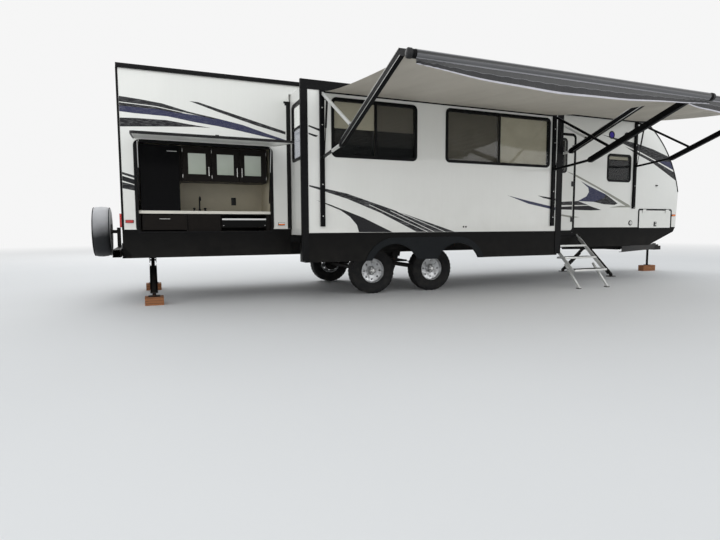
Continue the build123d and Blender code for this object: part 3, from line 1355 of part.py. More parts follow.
def fridge_door():
    x0 = FRIDGE_X[0] + 3
    x1 = FRIDGE_X[1] - 3
    y1 = CABINET_FRONT_Y + PANEL_THICKNESS + 24
    low, high = fridge_door_zs()
    leaf = block(x0, x1, y1 - FRIDGE_DOOR, y1, low, high)
    leaf = fillet(leaf.edges().filter_by(Axis.Z).group_by(Axis.Y)[0], 6)
    pin_x, pin_y = fridge_pin()
    for z in (low, high):
        socket = Pos(pin_x, pin_y, z) * Cylinder(HINGE_PIN_RADIUS + PIN_CLEARANCE, 26)
        leaf = leaf - socket
    return leaf


def upper_hinge_zs():
    return UPPER_Z[0] + UPPER_HINGE_INSET, UPPER_Z[1] - UPPER_HINGE_INSET


def upper_hinge_seat(x0, x1, hand, z):
    """A hinge's fixed half: a plate beside the door, two caps and the pin between them."""
    x = x0 if hand == "left" else x1
    outward = -1 if hand == "left" else 1
    y = CABINET_FRONT_Y
    back = y + PANEL_THICKNESS + 1
    plate_xs = sorted((x + outward, x + outward * (1 + UPPER_HINGE_PLATE)))
    half = UPPER_HINGE_LENGTH / 2
    whole = half + 0.5 + UPPER_HINGE_CAP
    parts = [block(*plate_xs, y + UPPER_KNUCKLE_RADIUS + 1, back, z - whole, z + whole)]
    parts.append(Pos(x, y, z) * Cylinder(UPPER_PIN_RADIUS, 2 * whole))
    for side in (-1, 1):
        cap_z = z + side * (half + 0.5 + UPPER_HINGE_CAP / 2)
        parts.append(Pos(x, y, cap_z) * Cylinder(UPPER_KNUCKLE_RADIUS, UPPER_HINGE_CAP))
        ends = (cap_z - UPPER_HINGE_CAP / 2, cap_z + UPPER_HINGE_CAP / 2)
        parts.append(block(*plate_xs, y, back, *ends))
    return fuse(parts)


def cabinet_door(x0, x1, hinge):
    """An upper cabinet door with a sunk field for its pane and an upright handle."""
    y0 = CABINET_FRONT_Y
    y1 = CABINET_FRONT_Y + PANEL_THICKNESS - 0.5
    z0 = UPPER_Z[0] + 4
    z1 = UPPER_Z[1] - 4
    leaf = block(x0, x1, y0, y1, z0, z1)
    left, right, low, high = CABINET_GLASS
    field = block(x0 + left, x1 - right, y0 - 1, y0 + 5, z0 + low, z1 - high)
    leaf = leaf - field
    handle_x = x1 - 30 if hinge == "left" else x0 + 30
    grip = rod((handle_x, y0 - 22, z0 + 66), (handle_x, y0 - 22, z0 + 190), 5)
    posts = [rod((handle_x, y0 - 22, z), (handle_x, y0 + 1, z), 4) for z in (z0 + 84, z0 + 172)]
    pin_x = x0 if hinge == "left" else x1
    web_xs = sorted((pin_x, pin_x + (8 if hinge == "left" else -8)))
    half = UPPER_HINGE_LENGTH / 2
    pocket = UPPER_HINGE_LENGTH + 2 * UPPER_HINGE_CAP + 3
    for z in upper_hinge_zs():
        leaf = leaf - Pos(pin_x, y0, z) * Cylinder(UPPER_KNUCKLE_RADIUS + 1, pocket)
        knuckle = Pos(pin_x, y0, z) * Cylinder(UPPER_KNUCKLE_RADIUS, 2 * half)
        leaf = leaf + knuckle + block(*web_xs, y0, y0 + 8, z - half, z + half)
        leaf = leaf - Pos(pin_x, y0, z) * Cylinder(UPPER_PIN_RADIUS + PIN_CLEARANCE, pocket)
    return fuse([leaf, grip] + posts)


def kitchen_drawer():
    """A drawer with a front, a tray on two runners and a bar handle."""
    x0, x1 = DRAWER_X
    z0, z1 = DRAWER_Z
    y0 = CABINET_FRONT_Y
    y1 = y0 + PANEL_THICKNESS
    front = block(x0, x1, y0, y1 - 0.5, z0, z1)
    low = z0 + 6 + GLIDE_GAP
    body = block(x0 + 10, x1 - 10, y1 - 1, y1 + 430, low, z1 - 36)
    hollow = block(x0 + 22, x1 - 22, y1, y1 + 418, low + 10, z1)
    middle = (x0 + x1) / 2
    grip_z = z1 - 52
    posts = [rod((x, y0 - 22, grip_z), (x, y0, grip_z), 4) for x in (middle - 48, middle + 48)]
    grip = rod((middle - 65, y0 - 22, grip_z), (middle + 65, y0 - 22, grip_z), 5)
    return fuse([front, body - hollow, grip] + posts)


def cooktop_tray():
    """The slide-out cooktop, drawn a little out of the base cabinet."""
    x0, x1 = TRAY_X
    z0, z1 = TRAY_Z
    y0 = CABINET_FRONT_Y - TRAY_DRAWN
    y1 = y0 + 16 + TRAY_DEPTH
    tray = block(x0 + 6, x1 - 2, y0 + 16, y1, z0, z1 - 18)
    front = block(x0 + 4, x1, y0, y0 + 18, z0, z1)
    lip = block(x0 + 4, x1, y0 - 8, y0 + 4, z1 - 22, z1)
    inside = (x0 + 6 + TRAY_WALL, x1 - 2 - TRAY_WALL, y0 + 16 + TRAY_WALL, y1 - TRAY_WALL)
    well = block(*inside, z1 - HOB_DEPTH, z1)
    under = block(*inside, z0 - 1, z1 - HOB_DEPTH - HOB_SHEET)
    return fuse([tray - well - under, front, lip])


# Awnings, lamps and roof pieces

def awning_frame(xs, face_y, rise, rail_foot):
    """Two linkages with their wall rails, the cloth's track and the roller tube."""
    reach, height = AWNING_TRACK
    track_z = AWNING_POINTS["fabric"][1] + rise
    rail_top = track_z + height / 2
    parts = [block(xs[0], xs[1], face_y - reach, face_y, rail_top - height, rail_top)]
    points = {name: (face_y - out, z + rise) for name, (out, z) in AWNING_POINTS.items()}
    width, depth = AWNING_RAIL
    seat_y = face_y - depth + AWNING_FOOT_LAP
    for x in xs:
        rail = block(x - width / 2, x + width / 2, face_y - depth, face_y, rail_foot, rail_top)
        foot = bar((seat_y, points["pivot"][1]), points["pivot"], *AWNING_FOOT, x)
        link = bar(points["pivot"], points["knee"], *AWNING_LINK, x)
        arm = bar(points["knee"], points["head"], *AWNING_ARM, x)
        elbow = Pos(x, *points["knee"]) * Rot(0, 90, 0) * Cylinder(AWNING_ARM[1] / 2, AWNING_ARM[0])
        strut_foot = bar((seat_y, points["strut_top"][1]), points["strut_top"], *AWNING_FOOT, x)
        strut = bar(points["strut_top"], points["strut_end"], *AWNING_LINK, x)
        head = bar(points["head"], points["roller"], AWNING_ARM[0], AWNING_HEAD_DEPTH, x)
        parts += [rail, foot, link, arm, elbow, strut_foot, strut, head]
    roller_y, roller_z = points["roller"]
    tips = [(x, roller_y, roller_z) for x in (xs[0] - 22, xs[1] + 22)]
    parts.append(rod(*tips, AWNING_ROLLER_RADIUS))
    return fuse(parts)


def awning_canopy(xs, face_y, rise):
    """The awning's fabric as one thin sheet from the wall to the roller, with its valance."""
    out, z = AWNING_POINTS["fabric"]
    roller_out, roller_z = AWNING_POINTS["roller"]
    top_z = roller_z + rise + AWNING_ROLLER_RADIUS + 1
    start = (face_y - out, z + rise)
    turn = (face_y - roller_out, top_z)
    lip_y = face_y - roller_out - AWNING_ROLLER_RADIUS - 6
    t = AWNING_FABRIC
    sheet = polygon(
        start,
        turn,
        (lip_y, top_z - 8),
        (lip_y, top_z - AWNING_VALANCE),
        (lip_y - t, top_z - AWNING_VALANCE),
        (lip_y - t, top_z - 8 + t),
        (turn[0], top_z + t),
        (start[0], start[1] + t),
    )
    return extrude_x(sheet, xs[0] + AWNING_EDGE, xs[1] - AWNING_EDGE)


def lamps():
    """Marker lamps and tail lamps, as low lenses on the skin."""
    parts = []
    for x, z in ((90, 1135), (2080, 1100), (10300, 1270)):
        for side in (-1, 1):
            if side > 0 and x == 2080:
                continue
            y = side * BODY_WIDTH / 2
            lens = block(x - 45, x + 45, y, y + side * 18, z - 16, z + 16)
            parts.append(fillet(lens.edges().filter_by(Axis.Y), 14))
    for side in (-1, 1):
        y = side * (BODY_WIDTH / 2 - TAIL_LAMP_INSET)
        lens = block(-32, 0, y - 60, y + 60, *TAIL_LAMP_Z)
        parts.append(fillet(lens.edges().filter_by(Axis.X), 20))
    return parts


def roof_units():
    """The air conditioner's shroud, three vent lids and a pipe cap."""
    parts = []
    for x, y, length, width, height, radius in ROOF_UNITS:
        base = rounded(x - length / 2, x + length / 2, y - width / 2, y + width / 2, radius)
        unit = extrude_z(base, ROOF_TOP, ROOF_TOP + height)
        unit = fillet(unit.faces().sort_by(Axis.Z)[-1].edges(), radius * 0.4)
        parts.append(unit)
    return parts


def window_frames():
    parts = [wall_frame(w, NEAR_Y, 1, WALL_THICKNESS) for w in NEAR_WINDOWS]
    parts += [wall_frame(w, FAR_Y, -1, WALL_THICKNESS) for w in FAR_WINDOWS]
    parts.append(wall_frame(REAR_WINDOW, 0, 1, WALL_THICKNESS, extrude_x))
    return parts


def window_glass():
    parts = [wall_glass(w, NEAR_Y, 1) for w in NEAR_WINDOWS]
    parts += [wall_glass(w, FAR_Y, -1) for w in FAR_WINDOWS]
    parts.append(wall_glass(REAR_WINDOW, 0, 1, extrude_x))
    return parts


def slide_window_frames():
    parts = [wall_frame(w, SLIDE_FACE_Y, 1, SLIDE_WALL) for w in SLIDE_WINDOWS]
    parts.append(wall_frame(slide_side_window(), SLIDE_X0, 1, SLIDE_WALL, extrude_x))
    return parts


def slide_window_glass():
    parts = [wall_glass(w, SLIDE_FACE_Y, 1) for w in SLIDE_WINDOWS]
    parts.append(wall_glass(slide_side_window(), SLIDE_X0, 1, extrude_x))
    return parts


def build_pieces():
    """All nodes by name, each a solid or a list of solids, in the body's own frame."""
    pieces = {
        "chassis_rails": chassis_rails(),
        "chassis_crossmembers": chassis_crossmembers(),
        "tongue_arms": tongue_arms(),
        "tongue_fittings": tongue_fittings(),
        "rear_bumper": rear_bumper(),
        "spare_wheel_cover": spare_cover(),
        "axles": axles(),
        "leaf_springs": leaf_springs(),
        "floor_deck": floor_deck(),
        "wall_near": near_wall(),
        "wall_far": far_wall(),
        "wall_rear": rear_wall(),
        "front_cap": front_cap(),
        "roof_shell": roof_shell(),
        "skirt_panels": skirt_panels(),
        "wall_frames": opening_frames() + window_frames(),
        "window_glass": window_glass(),
        "kitchen_bay": kitchen_bay(),
        "kitchen_cabinets": kitchen_cabinets(),
        "kitchen_counter": kitchen_counter(),
        "roof_units": roof_units(),
        "gas_bottle_cover": bottle_cover(),
        "lamps": lamps(),
        "support_blocks": support_blocks(),
        "awning_front_frame": awning_frame(
            AWNING_FRONT_XS, NEAR_Y, AWNING_RISE_FRONT, AWNING_FRONT_RAIL_FOOT
        ),
        "awning_front_canopy": awning_canopy(AWNING_FRONT_XS, NEAR_Y, AWNING_RISE_FRONT),
        "slide_front_wall": slide_front_wall(),
        "slide_shell": slide_shell(),
        "slide_flange": slide_flange(),
        "slide_skirt": slide_skirt(),
        "slide_window_frames": slide_window_frames(),
        "slide_window_glass": slide_window_glass(),
        "awning_slide_frame": awning_frame(
            AWNING_SLIDE_XS, SLIDE_FACE_Y, 0, AWNING_SLIDE_RAIL_FOOT
        ),
        "awning_slide_canopy": awning_canopy(AWNING_SLIDE_XS, SLIDE_FACE_Y, 0),
        "entry_door": entry_door(),
        "entry_door_glass": entry_door_glass(),
        "baggage_door": baggage_door(),
        "kitchen_hatch": kitchen_hatch(),
        "hatch_strut_tubes": hatch_strut_tubes(),
        "hatch_strut_rods": hatch_strut_rods(),
        "entry_steps": entry_steps(),
        "jack_leg": jack_leg(),
        "fridge_door": fridge_door(),
        "kitchen_drawer": kitchen_drawer(),
        "cooktop_tray": cooktop_tray(),
    }
    for index, (x0, x1, hinge) in enumerate(UPPER_DOORS):
        pieces["cabinet_door_" + "abc"[index]] = cabinet_door(x0, x1, hinge)
    for end, x in zip(("rear", "front"), AXLE_XS):
        for side, sign in (("near", -1), ("far", 1)):
            pieces["tyre_" + end + "_" + side] = tyre(x, sign)
            pieces["rim_" + end + "_" + side] = rim(x, sign)
    for end, x, leg, stand in STABILISERS:
        for side, sign in (("near", -1), ("far", 1)):
            pieces["stabiliser_" + end + "_" + side] = stabiliser_leg(x, sign, leg, stand)
    return pieces


def solids_of(piece):
    items = piece if isinstance(piece, list) else [piece]
    return [solid for item in items for solid in item.solids()]


def origin_of(pieces):
    """The centre of the whole part's box, on the ground."""
    box = Compound(children=[s for piece in pieces.values() for s in solids_of(piece)]).bounding_box()
    return (box.min.X + box.max.X) / 2, (box.min.Y + box.max.Y) / 2, box.min.Z


def main():
    os.makedirs("parts", exist_ok=True)
    pieces = build_pieces()
    x, y, z = origin_of(pieces)
    for name, piece in pieces.items():
        solids = [Pos(-x, -y, -z) * solid for solid in solids_of(piece)]
        node = solids[0] if len(solids) == 1 else Compound(children=solids)
        node.label = name
        export_step(node, "parts/" + name + ".step")


if __name__ == "__main__":
    main()
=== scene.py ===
import math

import bmesh
import bpy
from mathutils import Matrix, Vector


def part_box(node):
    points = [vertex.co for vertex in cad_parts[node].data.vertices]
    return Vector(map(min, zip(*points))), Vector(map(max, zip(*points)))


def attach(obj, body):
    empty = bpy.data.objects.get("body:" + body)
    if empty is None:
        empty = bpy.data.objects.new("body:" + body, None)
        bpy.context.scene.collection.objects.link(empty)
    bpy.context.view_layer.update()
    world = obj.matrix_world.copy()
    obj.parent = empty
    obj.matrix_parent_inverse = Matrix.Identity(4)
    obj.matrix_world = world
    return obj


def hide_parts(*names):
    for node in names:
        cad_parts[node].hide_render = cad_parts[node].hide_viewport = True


bl_info = {
    "name": "Travel caravan look",
    "version": (1, 0, 0),
    "blender": (4, 5, 0),
    "location": "View3D > Sidebar > Caravan",
    "description": "Dresses the packed travel caravan with its finishes and fine pieces",
    "category": "Object",
}

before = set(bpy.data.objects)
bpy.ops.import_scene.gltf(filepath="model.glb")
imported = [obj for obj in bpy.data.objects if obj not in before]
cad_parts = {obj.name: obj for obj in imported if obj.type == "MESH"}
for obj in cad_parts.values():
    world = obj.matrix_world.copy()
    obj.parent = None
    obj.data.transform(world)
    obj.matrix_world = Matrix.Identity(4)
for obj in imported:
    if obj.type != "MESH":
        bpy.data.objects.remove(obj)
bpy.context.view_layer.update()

REAR_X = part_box("wall_rear")[0][0]
MID_Y = (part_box("roof_shell")[0][1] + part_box("roof_shell")[1][1]) / 2
NEAR_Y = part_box("wall_near")[0][1]
FAR_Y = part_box("wall_far")[1][1]
ROOF_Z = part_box("roof_shell")[1][2]
SLIDE_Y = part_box("slide_front_wall")[0][1]
CARAVAN = "caravan"
ROOM = "slide_room"
DOOR_LEAF = "entry_door_leaf"
FILM = 0.0007
SHARP_ANGLE = math.radians(38)


# Settings


class CaravanColours(bpy.types.PropertyGroup):
    """Colours of the caravan's finishes."""

    shell: bpy.props.FloatVectorProperty(
        name="Shell", description="Side walls and caps",
        subtype="COLOR", default=(0.8, 0.8, 0.765), min=0, max=1,
    )
    film_black: bpy.props.FloatVectorProperty(
        name="Black film", description="Black stripes",
        subtype="COLOR", default=(0.013, 0.013, 0.015), min=0, max=1,
    )
    film_navy: bpy.props.FloatVectorProperty(
        name="Navy film", description="Navy stripes",
        subtype="COLOR", default=(0.031, 0.034, 0.082), min=0, max=1,
    )
    film_grey: bpy.props.FloatVectorProperty(
        name="Grey film", description="Grey stripes",
        subtype="COLOR", default=(0.31, 0.31, 0.27), min=0, max=1,
    )
    skirt: bpy.props.FloatVectorProperty(
        name="Skirt", description="Black lower panels",
        subtype="COLOR", default=(0.005, 0.005, 0.0052), min=0, max=1,
    )
    cloth: bpy.props.FloatVectorProperty(
        name="Awning cloth", description="Cloth of both awnings",
        subtype="COLOR", default=(0.56, 0.52, 0.45), min=0, max=1,
    )
    cabinet: bpy.props.FloatVectorProperty(
        name="Cabinets", description="Kitchen cabinet foil",
        subtype="COLOR", default=(0.0055, 0.0042, 0.0034), min=0, max=1,
    )
    liner: bpy.props.FloatVectorProperty(
        name="Bay lining", description="Lining of the kitchen bay",
        subtype="COLOR", default=(0.5, 0.45, 0.34), min=0, max=1,
    )


class CaravanSizes(bpy.types.PropertyGroup):
    """Sizes of the fine pieces, in metres."""

    cloth_sag: bpy.props.FloatProperty(
        name="Cloth sag", description="How far each awning hangs at its middle",
        default=0.045, min=0, unit="LENGTH",
    )
    gutter: bpy.props.FloatProperty(
        name="Gutter height", description="Height of the gutter along the roof's edge",
        default=0.05, min=0.01, unit="LENGTH",
    )
    tread_depth: bpy.props.FloatProperty(
        name="Tread depth", description="Depth of the tyres' grooves",
        default=0.008, min=0.001, unit="LENGTH",
    )
    speaker: bpy.props.FloatProperty(
        name="Speaker radius", description="Radius of each outside speaker",
        default=0.066, min=0.01, unit="LENGTH",
    )


def paint(key):
    """A colour from the settings."""
    return tuple(getattr(bpy.context.scene.caravan_colours, key))


def sizes():
    return bpy.context.scene.caravan_sizes


# Shader helpers


class Signal:
    """A shader socket whose arithmetic adds Math nodes."""

    def __init__(self, nodes, socket):
        self.nodes = nodes
        self.socket = socket

    def combine(self, operation, first, second=0.0):
        node = self.nodes.node("ShaderNodeMath", {"operation": operation}, {0: first, 1: second})
        return Signal(self.nodes, node.outputs[0])

    def __add__(self, other):
        return self.combine("ADD", self, other)

    def __sub__(self, other):
        return self.combine("SUBTRACT", self, other)

    def __mul__(self, other):
        return self.combine("MULTIPLY", self, other)

    def __truediv__(self, other):
        return self.combine("DIVIDE", self, other)

    def __radd__(self, other):
        return self.combine("ADD", other, self)

    def __rsub__(self, other):
        return self.combine("SUBTRACT", other, self)

    def __rmul__(self, other):
        return self.combine("MULTIPLY", other, self)

    def __gt__(self, other):
        return self.combine("GREATER_THAN", self, other)

    def __lt__(self, other):
        return self.combine("LESS_THAN", self, other)

    def root(self):
        return self.combine("SQRT", self)

    def wave(self, frequency):
        """A sine of this value, from 0 to 1."""
        return self.combine("SINE", self * (frequency * 2 * math.pi)) * 0.5 + 0.5


class Nodes:
    """The node tree of a material or a world, whose nodes all come from one method."""

    def __init__(self, owner):
        owner.use_nodes = True
        self.tree = owner.node_tree
        self.tree.nodes.clear()

    def node(self, kind, settings, sockets):
        node = self.tree.nodes.new(kind)
        for key, value in settings.items():
            setattr(node, key, value)
        for key, value in sockets.items():
            self.feed(node.inputs[key], value)
        return node

    def feed(self, socket, value):
        """Links a signal or an output to a socket, or sets it to a plain value."""
        if isinstance(value, Signal):
            value = value.socket
        if isinstance(value, bpy.types.NodeSocket):
            self.tree.links.new(value, socket)
        elif socket.type == "RGBA" and len(value) == 3:
            socket.default_value = (*value, 1)
        else:
            socket.default_value = value

    def sees_backdrop(self):
        """1 for the rays that see the pale background, from the camera, off gloss or through glass."""
        path = self.node("ShaderNodeLightPath", {}, {})
        seen = Signal(self, path.outputs["Is Camera Ray"])
        for ray in ("Is Glossy Ray", "Is Transmission Ray"):
            seen = seen.combine("MAXIMUM", seen, Signal(self, path.outputs[ray]))
        return seen


class Finish(Nodes):
    """One procedural material round a Principled shader."""

    def __init__(self, name, roughness=0.5, metallic=0.0, coat=0.0, specular=0.5):
        self.material = bpy.data.materials.new(name)
        super().__init__(self.material)
        self.axes = ()
        self.shader = self.node("ShaderNodeBsdfPrincipled", {}, {
            "Roughness": roughness,
            "Metallic": metallic,
            "Coat Weight": coat,
            "Specular IOR Level": specular,
        })
        self.output = self.node("ShaderNodeOutputMaterial", {}, {"Surface": self.shader.outputs[0]})

    def place(self):
        """The point in the row's frame, as three signals."""
        if not self.axes:
            self.point = self.node("ShaderNodeTexCoord", {}, {}).outputs["Object"]
            split = self.node("ShaderNodeSeparateXYZ", {}, {0: self.point})
            self.axes = [Signal(self, output) for output in split.outputs]
        return self.axes

    x = property(lambda self: self.place()[0])
    y = property(lambda self: self.place()[1])
    z = property(lambda self: self.place()[2])

    def noise(self, scale, detail=3, stretch=(1, 1, 1), rough=0.5):
        self.place()
        mapped = self.node("ShaderNodeMapping", {}, {"Vector": self.point, "Scale": stretch})
        sockets = {"Vector": mapped.outputs[0], "Scale": scale, "Detail": detail, "Roughness": rough}
        return Signal(self, self.node("ShaderNodeTexNoise", {}, sockets).outputs[0])

    def sharpen(self, signal, low, high):
        """The signal stretched so that low becomes 0 and high becomes 1, and clamped."""
        sockets = {"Value": signal, "From Min": low, "From Max": high}
        return Signal(self, self.node("ShaderNodeMapRange", {"clamp": True}, sockets).outputs[0])

    def mix(self, factor, first, second):
        return self.node("ShaderNodeMix", {"data_type": "RGBA"}, {0: factor, 6: first, 7: second}).outputs[2]

    def set(self, socket, value):
        self.feed(self.shader.inputs[socket], value)

    def colour(self, factor, first, second):
        self.set("Base Color", self.mix(factor, first, second))

    def bump(self, height, distance, strength=1.0):
        sockets = {"Height": height, "Distance": distance, "Strength": strength}
        self.set("Normal", self.node("ShaderNodeBump", {}, sockets).outputs[0])


def shade(colour, factor):
    return tuple(min(1, c * factor) for c in colour)


# Finishes of painted, printed and moulded parts

DUST = (0.42, 0.4, 0.35)
SKIRT_DUST = (0.22, 0.2, 0.17)


def gloss_shell():
    """Glossy laminate with a light film of road dust towards its foot."""
    f = Finish("shell_gloss", roughness=0.28, coat=0.4)
    dust = f.noise(3.5, 5) * f.sharpen(1.75 - f.z, 0, 0.8) * 0.35
    streak = f.noise(5, 2, (9, 9, 0.4)) * 0.06
    f.colour(dust + streak, paint("shell"), DUST)
    f.set("Roughness", 0.26 + f.noise(14, 3) * 0.08 + dust * 0.4)
    f.bump(f.noise(1.1, 2, (1, 1, 0.6)), 0.004, 0.35)
    return f


def film(name, colour, flake=0.0, grain=0.0, specular=0.15):
    """Printed vinyl film, glossy, with a faint fleck and printed lines."""
    f = Finish(name, roughness=0.3, specular=specular)
    speck = f.sharpen(f.noise(260, 2), 0.55, 0.75) * flake
    lines = f.sharpen(f.noise(22, 3, (0.5, 1, 9)), 0.52, 0.66) * grain
    f.colour(speck + lines, colour, (0.42, 0.42, 0.42))
    return f


def black_moulding():
    """Black side panel with dust, grit marks and a faint waviness."""
    f = Finish("skirt_moulding", roughness=0.33, specular=0.06)
    low = f.sharpen(1.05 - f.z, 0, 0.4)
    dust = f.noise(7, 6) * low * 0.07
    grit = f.sharpen(f.noise(120, 2), 0.68, 0.74) * low * 0.2
    f.colour(dust + grit, paint("skirt"), SKIRT_DUST)
    f.set("Roughness", 0.3 + dust * 1.6)
    f.bump(f.noise(2.4, 2), 0.003, 0.4)
    return f


def slide_skirt():
    """Black skirt whose proud wheel-arch trim is a dark slate grey."""
    f = Finish("slide_skirt_moulding", roughness=0.34, specular=0.06)
    trim = f.y < (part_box("slide_skirt")[0][1] + 0.0135)
    dust = f.noise(7, 6) * f.sharpen(1.05 - f.z, 0, 0.4) * 0.06
    black = f.mix(dust, paint("skirt"), SKIRT_DUST)
    slate = f.mix(f.noise(12, 4) * 0.5, (0.011, 0.0125, 0.014), (0.02, 0.022, 0.024))
    f.colour(trim, black, slate)
    f.set("Roughness", 0.32 + trim * 0.12 + dust)
    f.bump(f.noise(2.4, 2), 0.003, 0.4)
    return f


def with_black_parts(name, mask):
    """Glossy shell colour, black wherever mask says that a fitting stands on it."""
    f = Finish(name, roughness=0.32, specular=0.3)
    dark = mask(f)
    f.colour(dark, f.mix(f.noise(3.5, 5) * 0.15, paint("shell"), DUST), (0.004, 0.004, 0.0045))
    f.set("Roughness", 0.28 + dark * 0.12)
    f.bump(f.noise(1.1, 2), 0.003, 0.3)
    return f


def door_mask(f):
    return f.y < (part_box("entry_door_glass")[0][1] - 0.0105)


def baggage_mask(f):
    return (f.y < (NEAR_Y - 0.0055)) * (f.z < 1.3)


def lid_mask(f):
    low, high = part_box("kitchen_hatch")
    outer = f.y < (low[1] + 0.034)
    left = f.x < (low[0] + 0.022)
    right = f.x > (high[0] - 0.022)
    hinge = f.y > (high[1] - 0.026)
    return f.sharpen(outer + left + right + hinge, 0.4, 0.6)


def satin_trim(name, colour, roughness):
    """Black trim or rubber with a fine grain, worn a little paler."""
    f = Finish(name, roughness=roughness, specular=0.1)
    worn = f.sharpen(f.noise(40, 4), 0.55, 0.8) * 0.05
    f.colour(worn, colour, (0.16, 0.16, 0.155))
    f.set("Roughness", roughness + worn * 0.8)
    f.bump(f.noise(420, 2), 0.0004, 0.5)
    return f


def moulded(name, colour):
    """Moulded plastic with a fine orange-peel skin."""
    f = Finish(name, roughness=0.45, specular=0.3)
    f.colour(f.noise(4, 4) * 0.5, colour, shade(colour, 0.82))
    f.bump(f.noise(260, 2), 0.0005, 0.5)
    return f


def chassis_coat():
    """Black chassis paint with road dust and a little rust."""
    f = Finish("chassis_coat", roughness=0.55, specular=0.15)
    dust = f.sharpen(f.noise(6, 5), 0.4, 0.85) * 0.14
    rust = f.sharpen(f.noise(19, 6), 0.62, 0.72) * 0.5
    dusty = f.mix(dust, (0.008, 0.008, 0.008), (0.15, 0.135, 0.11))
    f.colour(rust, dusty, (0.13, 0.05, 0.022))
    f.set("Roughness", 0.48 + dust * 0.7 + rust * 0.3)
    f.bump(f.noise(180, 3), 0.0008, 0.5)
    return f


def gloss_black():
    """The fridge door's black gloss, with faint smears."""
    f = Finish("gloss_black", roughness=0.2, specular=0.05)
    f.colour(f.noise(3, 2) * 0.3, (0.0035, 0.0035, 0.004), (0.006, 0.006, 0.0065))
    f.set("Roughness", 0.1 + f.noise(8, 3) * 0.1)
    return f


# Finishes of wood, foil and stone


def plywood():
    """Plywood on its top face, near-black on its edges and underside."""
    f = Finish("plywood", roughness=0.7, specular=0.2)
    grain = f.noise(4, 6, (1, 14, 14))
    wood = f.mix(grain, (0.26, 0.18, 0.1), (0.4, 0.3, 0.19))
    f.colour(f.z > (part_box("floor_deck")[1][2] - 0.003), (0.006, 0.006, 0.006), wood)
    f.bump(grain, 0.001, 0.4)
    return f


def rough_timber():
    """Sawn timber, brown, with grain lines, knots and dark joints between stacked boards."""
    f = Finish("rough_timber", roughness=0.82)
    grain = f.noise(7, 8, (0.8, 16, 16), 0.65)
    knots = f.sharpen(f.noise(9, 3, (0.6, 2.5, 2.5)), 0.6, 0.72)
    stacked = f.sharpen((f.z / 0.036 + 0.02).wave(1.0), 0.0, 0.06)
    brown = f.mix(grain, (0.17, 0.06, 0.022), (0.42, 0.18, 0.07))
    darker = f.mix(knots * 0.7, brown, (0.07, 0.03, 0.014))
    f.colour(stacked, (0.03, 0.015, 0.01), darker)
    f.bump(grain + stacked, 0.003, 0.6)
    return f


def cabinet_foil():
    """Dark brown wood-grain foil, with its grain upright."""
    f = Finish("cabinet_foil", roughness=0.35, specular=0.1)
    grain = f.noise(6, 7, (16, 16, 1.0), 0.6)
    f.colour(grain, shade(paint("cabinet"), 0.75), shade(paint("cabinet"), 2.1))
    f.set("Roughness", 0.3 + grain * 0.15)
    f.bump(grain, 0.0006, 0.4)
    return f


HANDLE_DEPTH = 0.0262


def handled_front(name, node, lightest, pressed):
    """Foil on a door or drawer, whose parts in front of its face are a brushed metal handle."""
    f = Finish(name, roughness=0.35, specular=0.1)
    grain = f.noise(6, 7, (1.0, 16, 16), 0.6)
    wood = f.mix(grain, shade(paint("cabinet"), 0.75), shade(paint("cabinet"), lightest))
    metal = f.y < (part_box(node)[0][1] + HANDLE_DEPTH)
    f.colour(metal, wood, (0.66, 0.66, 0.64))
    f.set("Metallic", metal * 0.95)
    f.set("Roughness", 0.34 - metal * 0.08)
    if pressed:
        f.bump(grain * (1 - metal), 0.0006, 0.4)
    return f


def worktop():
    """Pale speckled worktop with a steel sink bowl."""
    f = Finish("worktop", roughness=0.3, coat=0.2)
    speck = f.sharpen(f.noise(240, 2), 0.6, 0.68) * 0.35
    pale = f.mix(speck, (0.74, 0.71, 0.63), (0.35, 0.31, 0.25))
    along = (f.x > (REAR_X + 0.8475)) * (f.x < (REAR_X + 1.1525))
    bowl = along * (f.y > (NEAR_Y + 0.1075)) * (f.z < (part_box("kitchen_counter")[1][2] - 0.001))
    f.colour(bowl, pale, (0.55, 0.55, 0.54))
    f.set("Metallic", bowl * 0.95)
    f.set("Roughness", 0.3 + f.noise(9, 3) * 0.08)
    return f


def bay_lining():
    """Beige lining of the kitchen bay, black on the frame round its mouth."""
    f = Finish("bay_lining", roughness=0.5, specular=0.3)
    cloudy = f.mix(f.noise(5, 4), shade(paint("liner"), 0.86), shade(paint("liner"), 1.15))
    f.colour(f.y < (NEAR_Y + 0.06), cloudy, (0.005, 0.005, 0.005))
    f.bump(f.noise(320, 2), 0.0004, 0.4)
    return f


# Finishes of glass and lamps


def tinted_glass():
    """Dark window glass with a faint smear."""
    f = Finish("tinted_glass", roughness=0.03, coat=0.6)
    smear = f.noise(5, 3)
    f.set("Base Color", (0.012, 0.014, 0.015))
    f.set("Roughness", 0.02 + smear * 0.05)
    f.set("Alpha", 0.24 + smear * 0.08)
    return f


def frosted_glass():
    """Frosted panes of the upper doors, with painted light: paler towards their top."""
    f = Finish("frosted_glass", roughness=0.42)
    # painted light: the panes are coloured paler towards their top, as if lit from above
    lit = f.sharpen(f.z, 1.77, 2.06)
    f.colour(lit * 0.6 + f.noise(9, 2) * 0.2, (0.42, 0.47, 0.38), (0.7, 0.74, 0.68))
    f.bump(f.noise(700, 2), 0.0003, 0.6)
    return f


def lamp_lens():
    """Lens plastic with fine ribs, red at the rear and amber further forward, with one pale housing."""
    f = Finish("lamp_lens", roughness=0.14, coat=0.5)
    forward = f.x > (REAR_X + 1.0)
    lit = f.mix(forward, (0.42, 0.008, 0.006), (0.75, 0.16, 0.01))
    housing = forward * (f.x < (REAR_X + 3.0)) * (f.z > 1.102)
    colour = f.mix(housing, lit, (0.7, 0.7, 0.66))
    f.set("Base Color", colour)
    f.set("Emission Color", colour)
    f.set("Emission Strength", 0.12)
    f.bump(f.z.wave(130) + f.x.wave(130), 0.0015, 0.5)
    return f


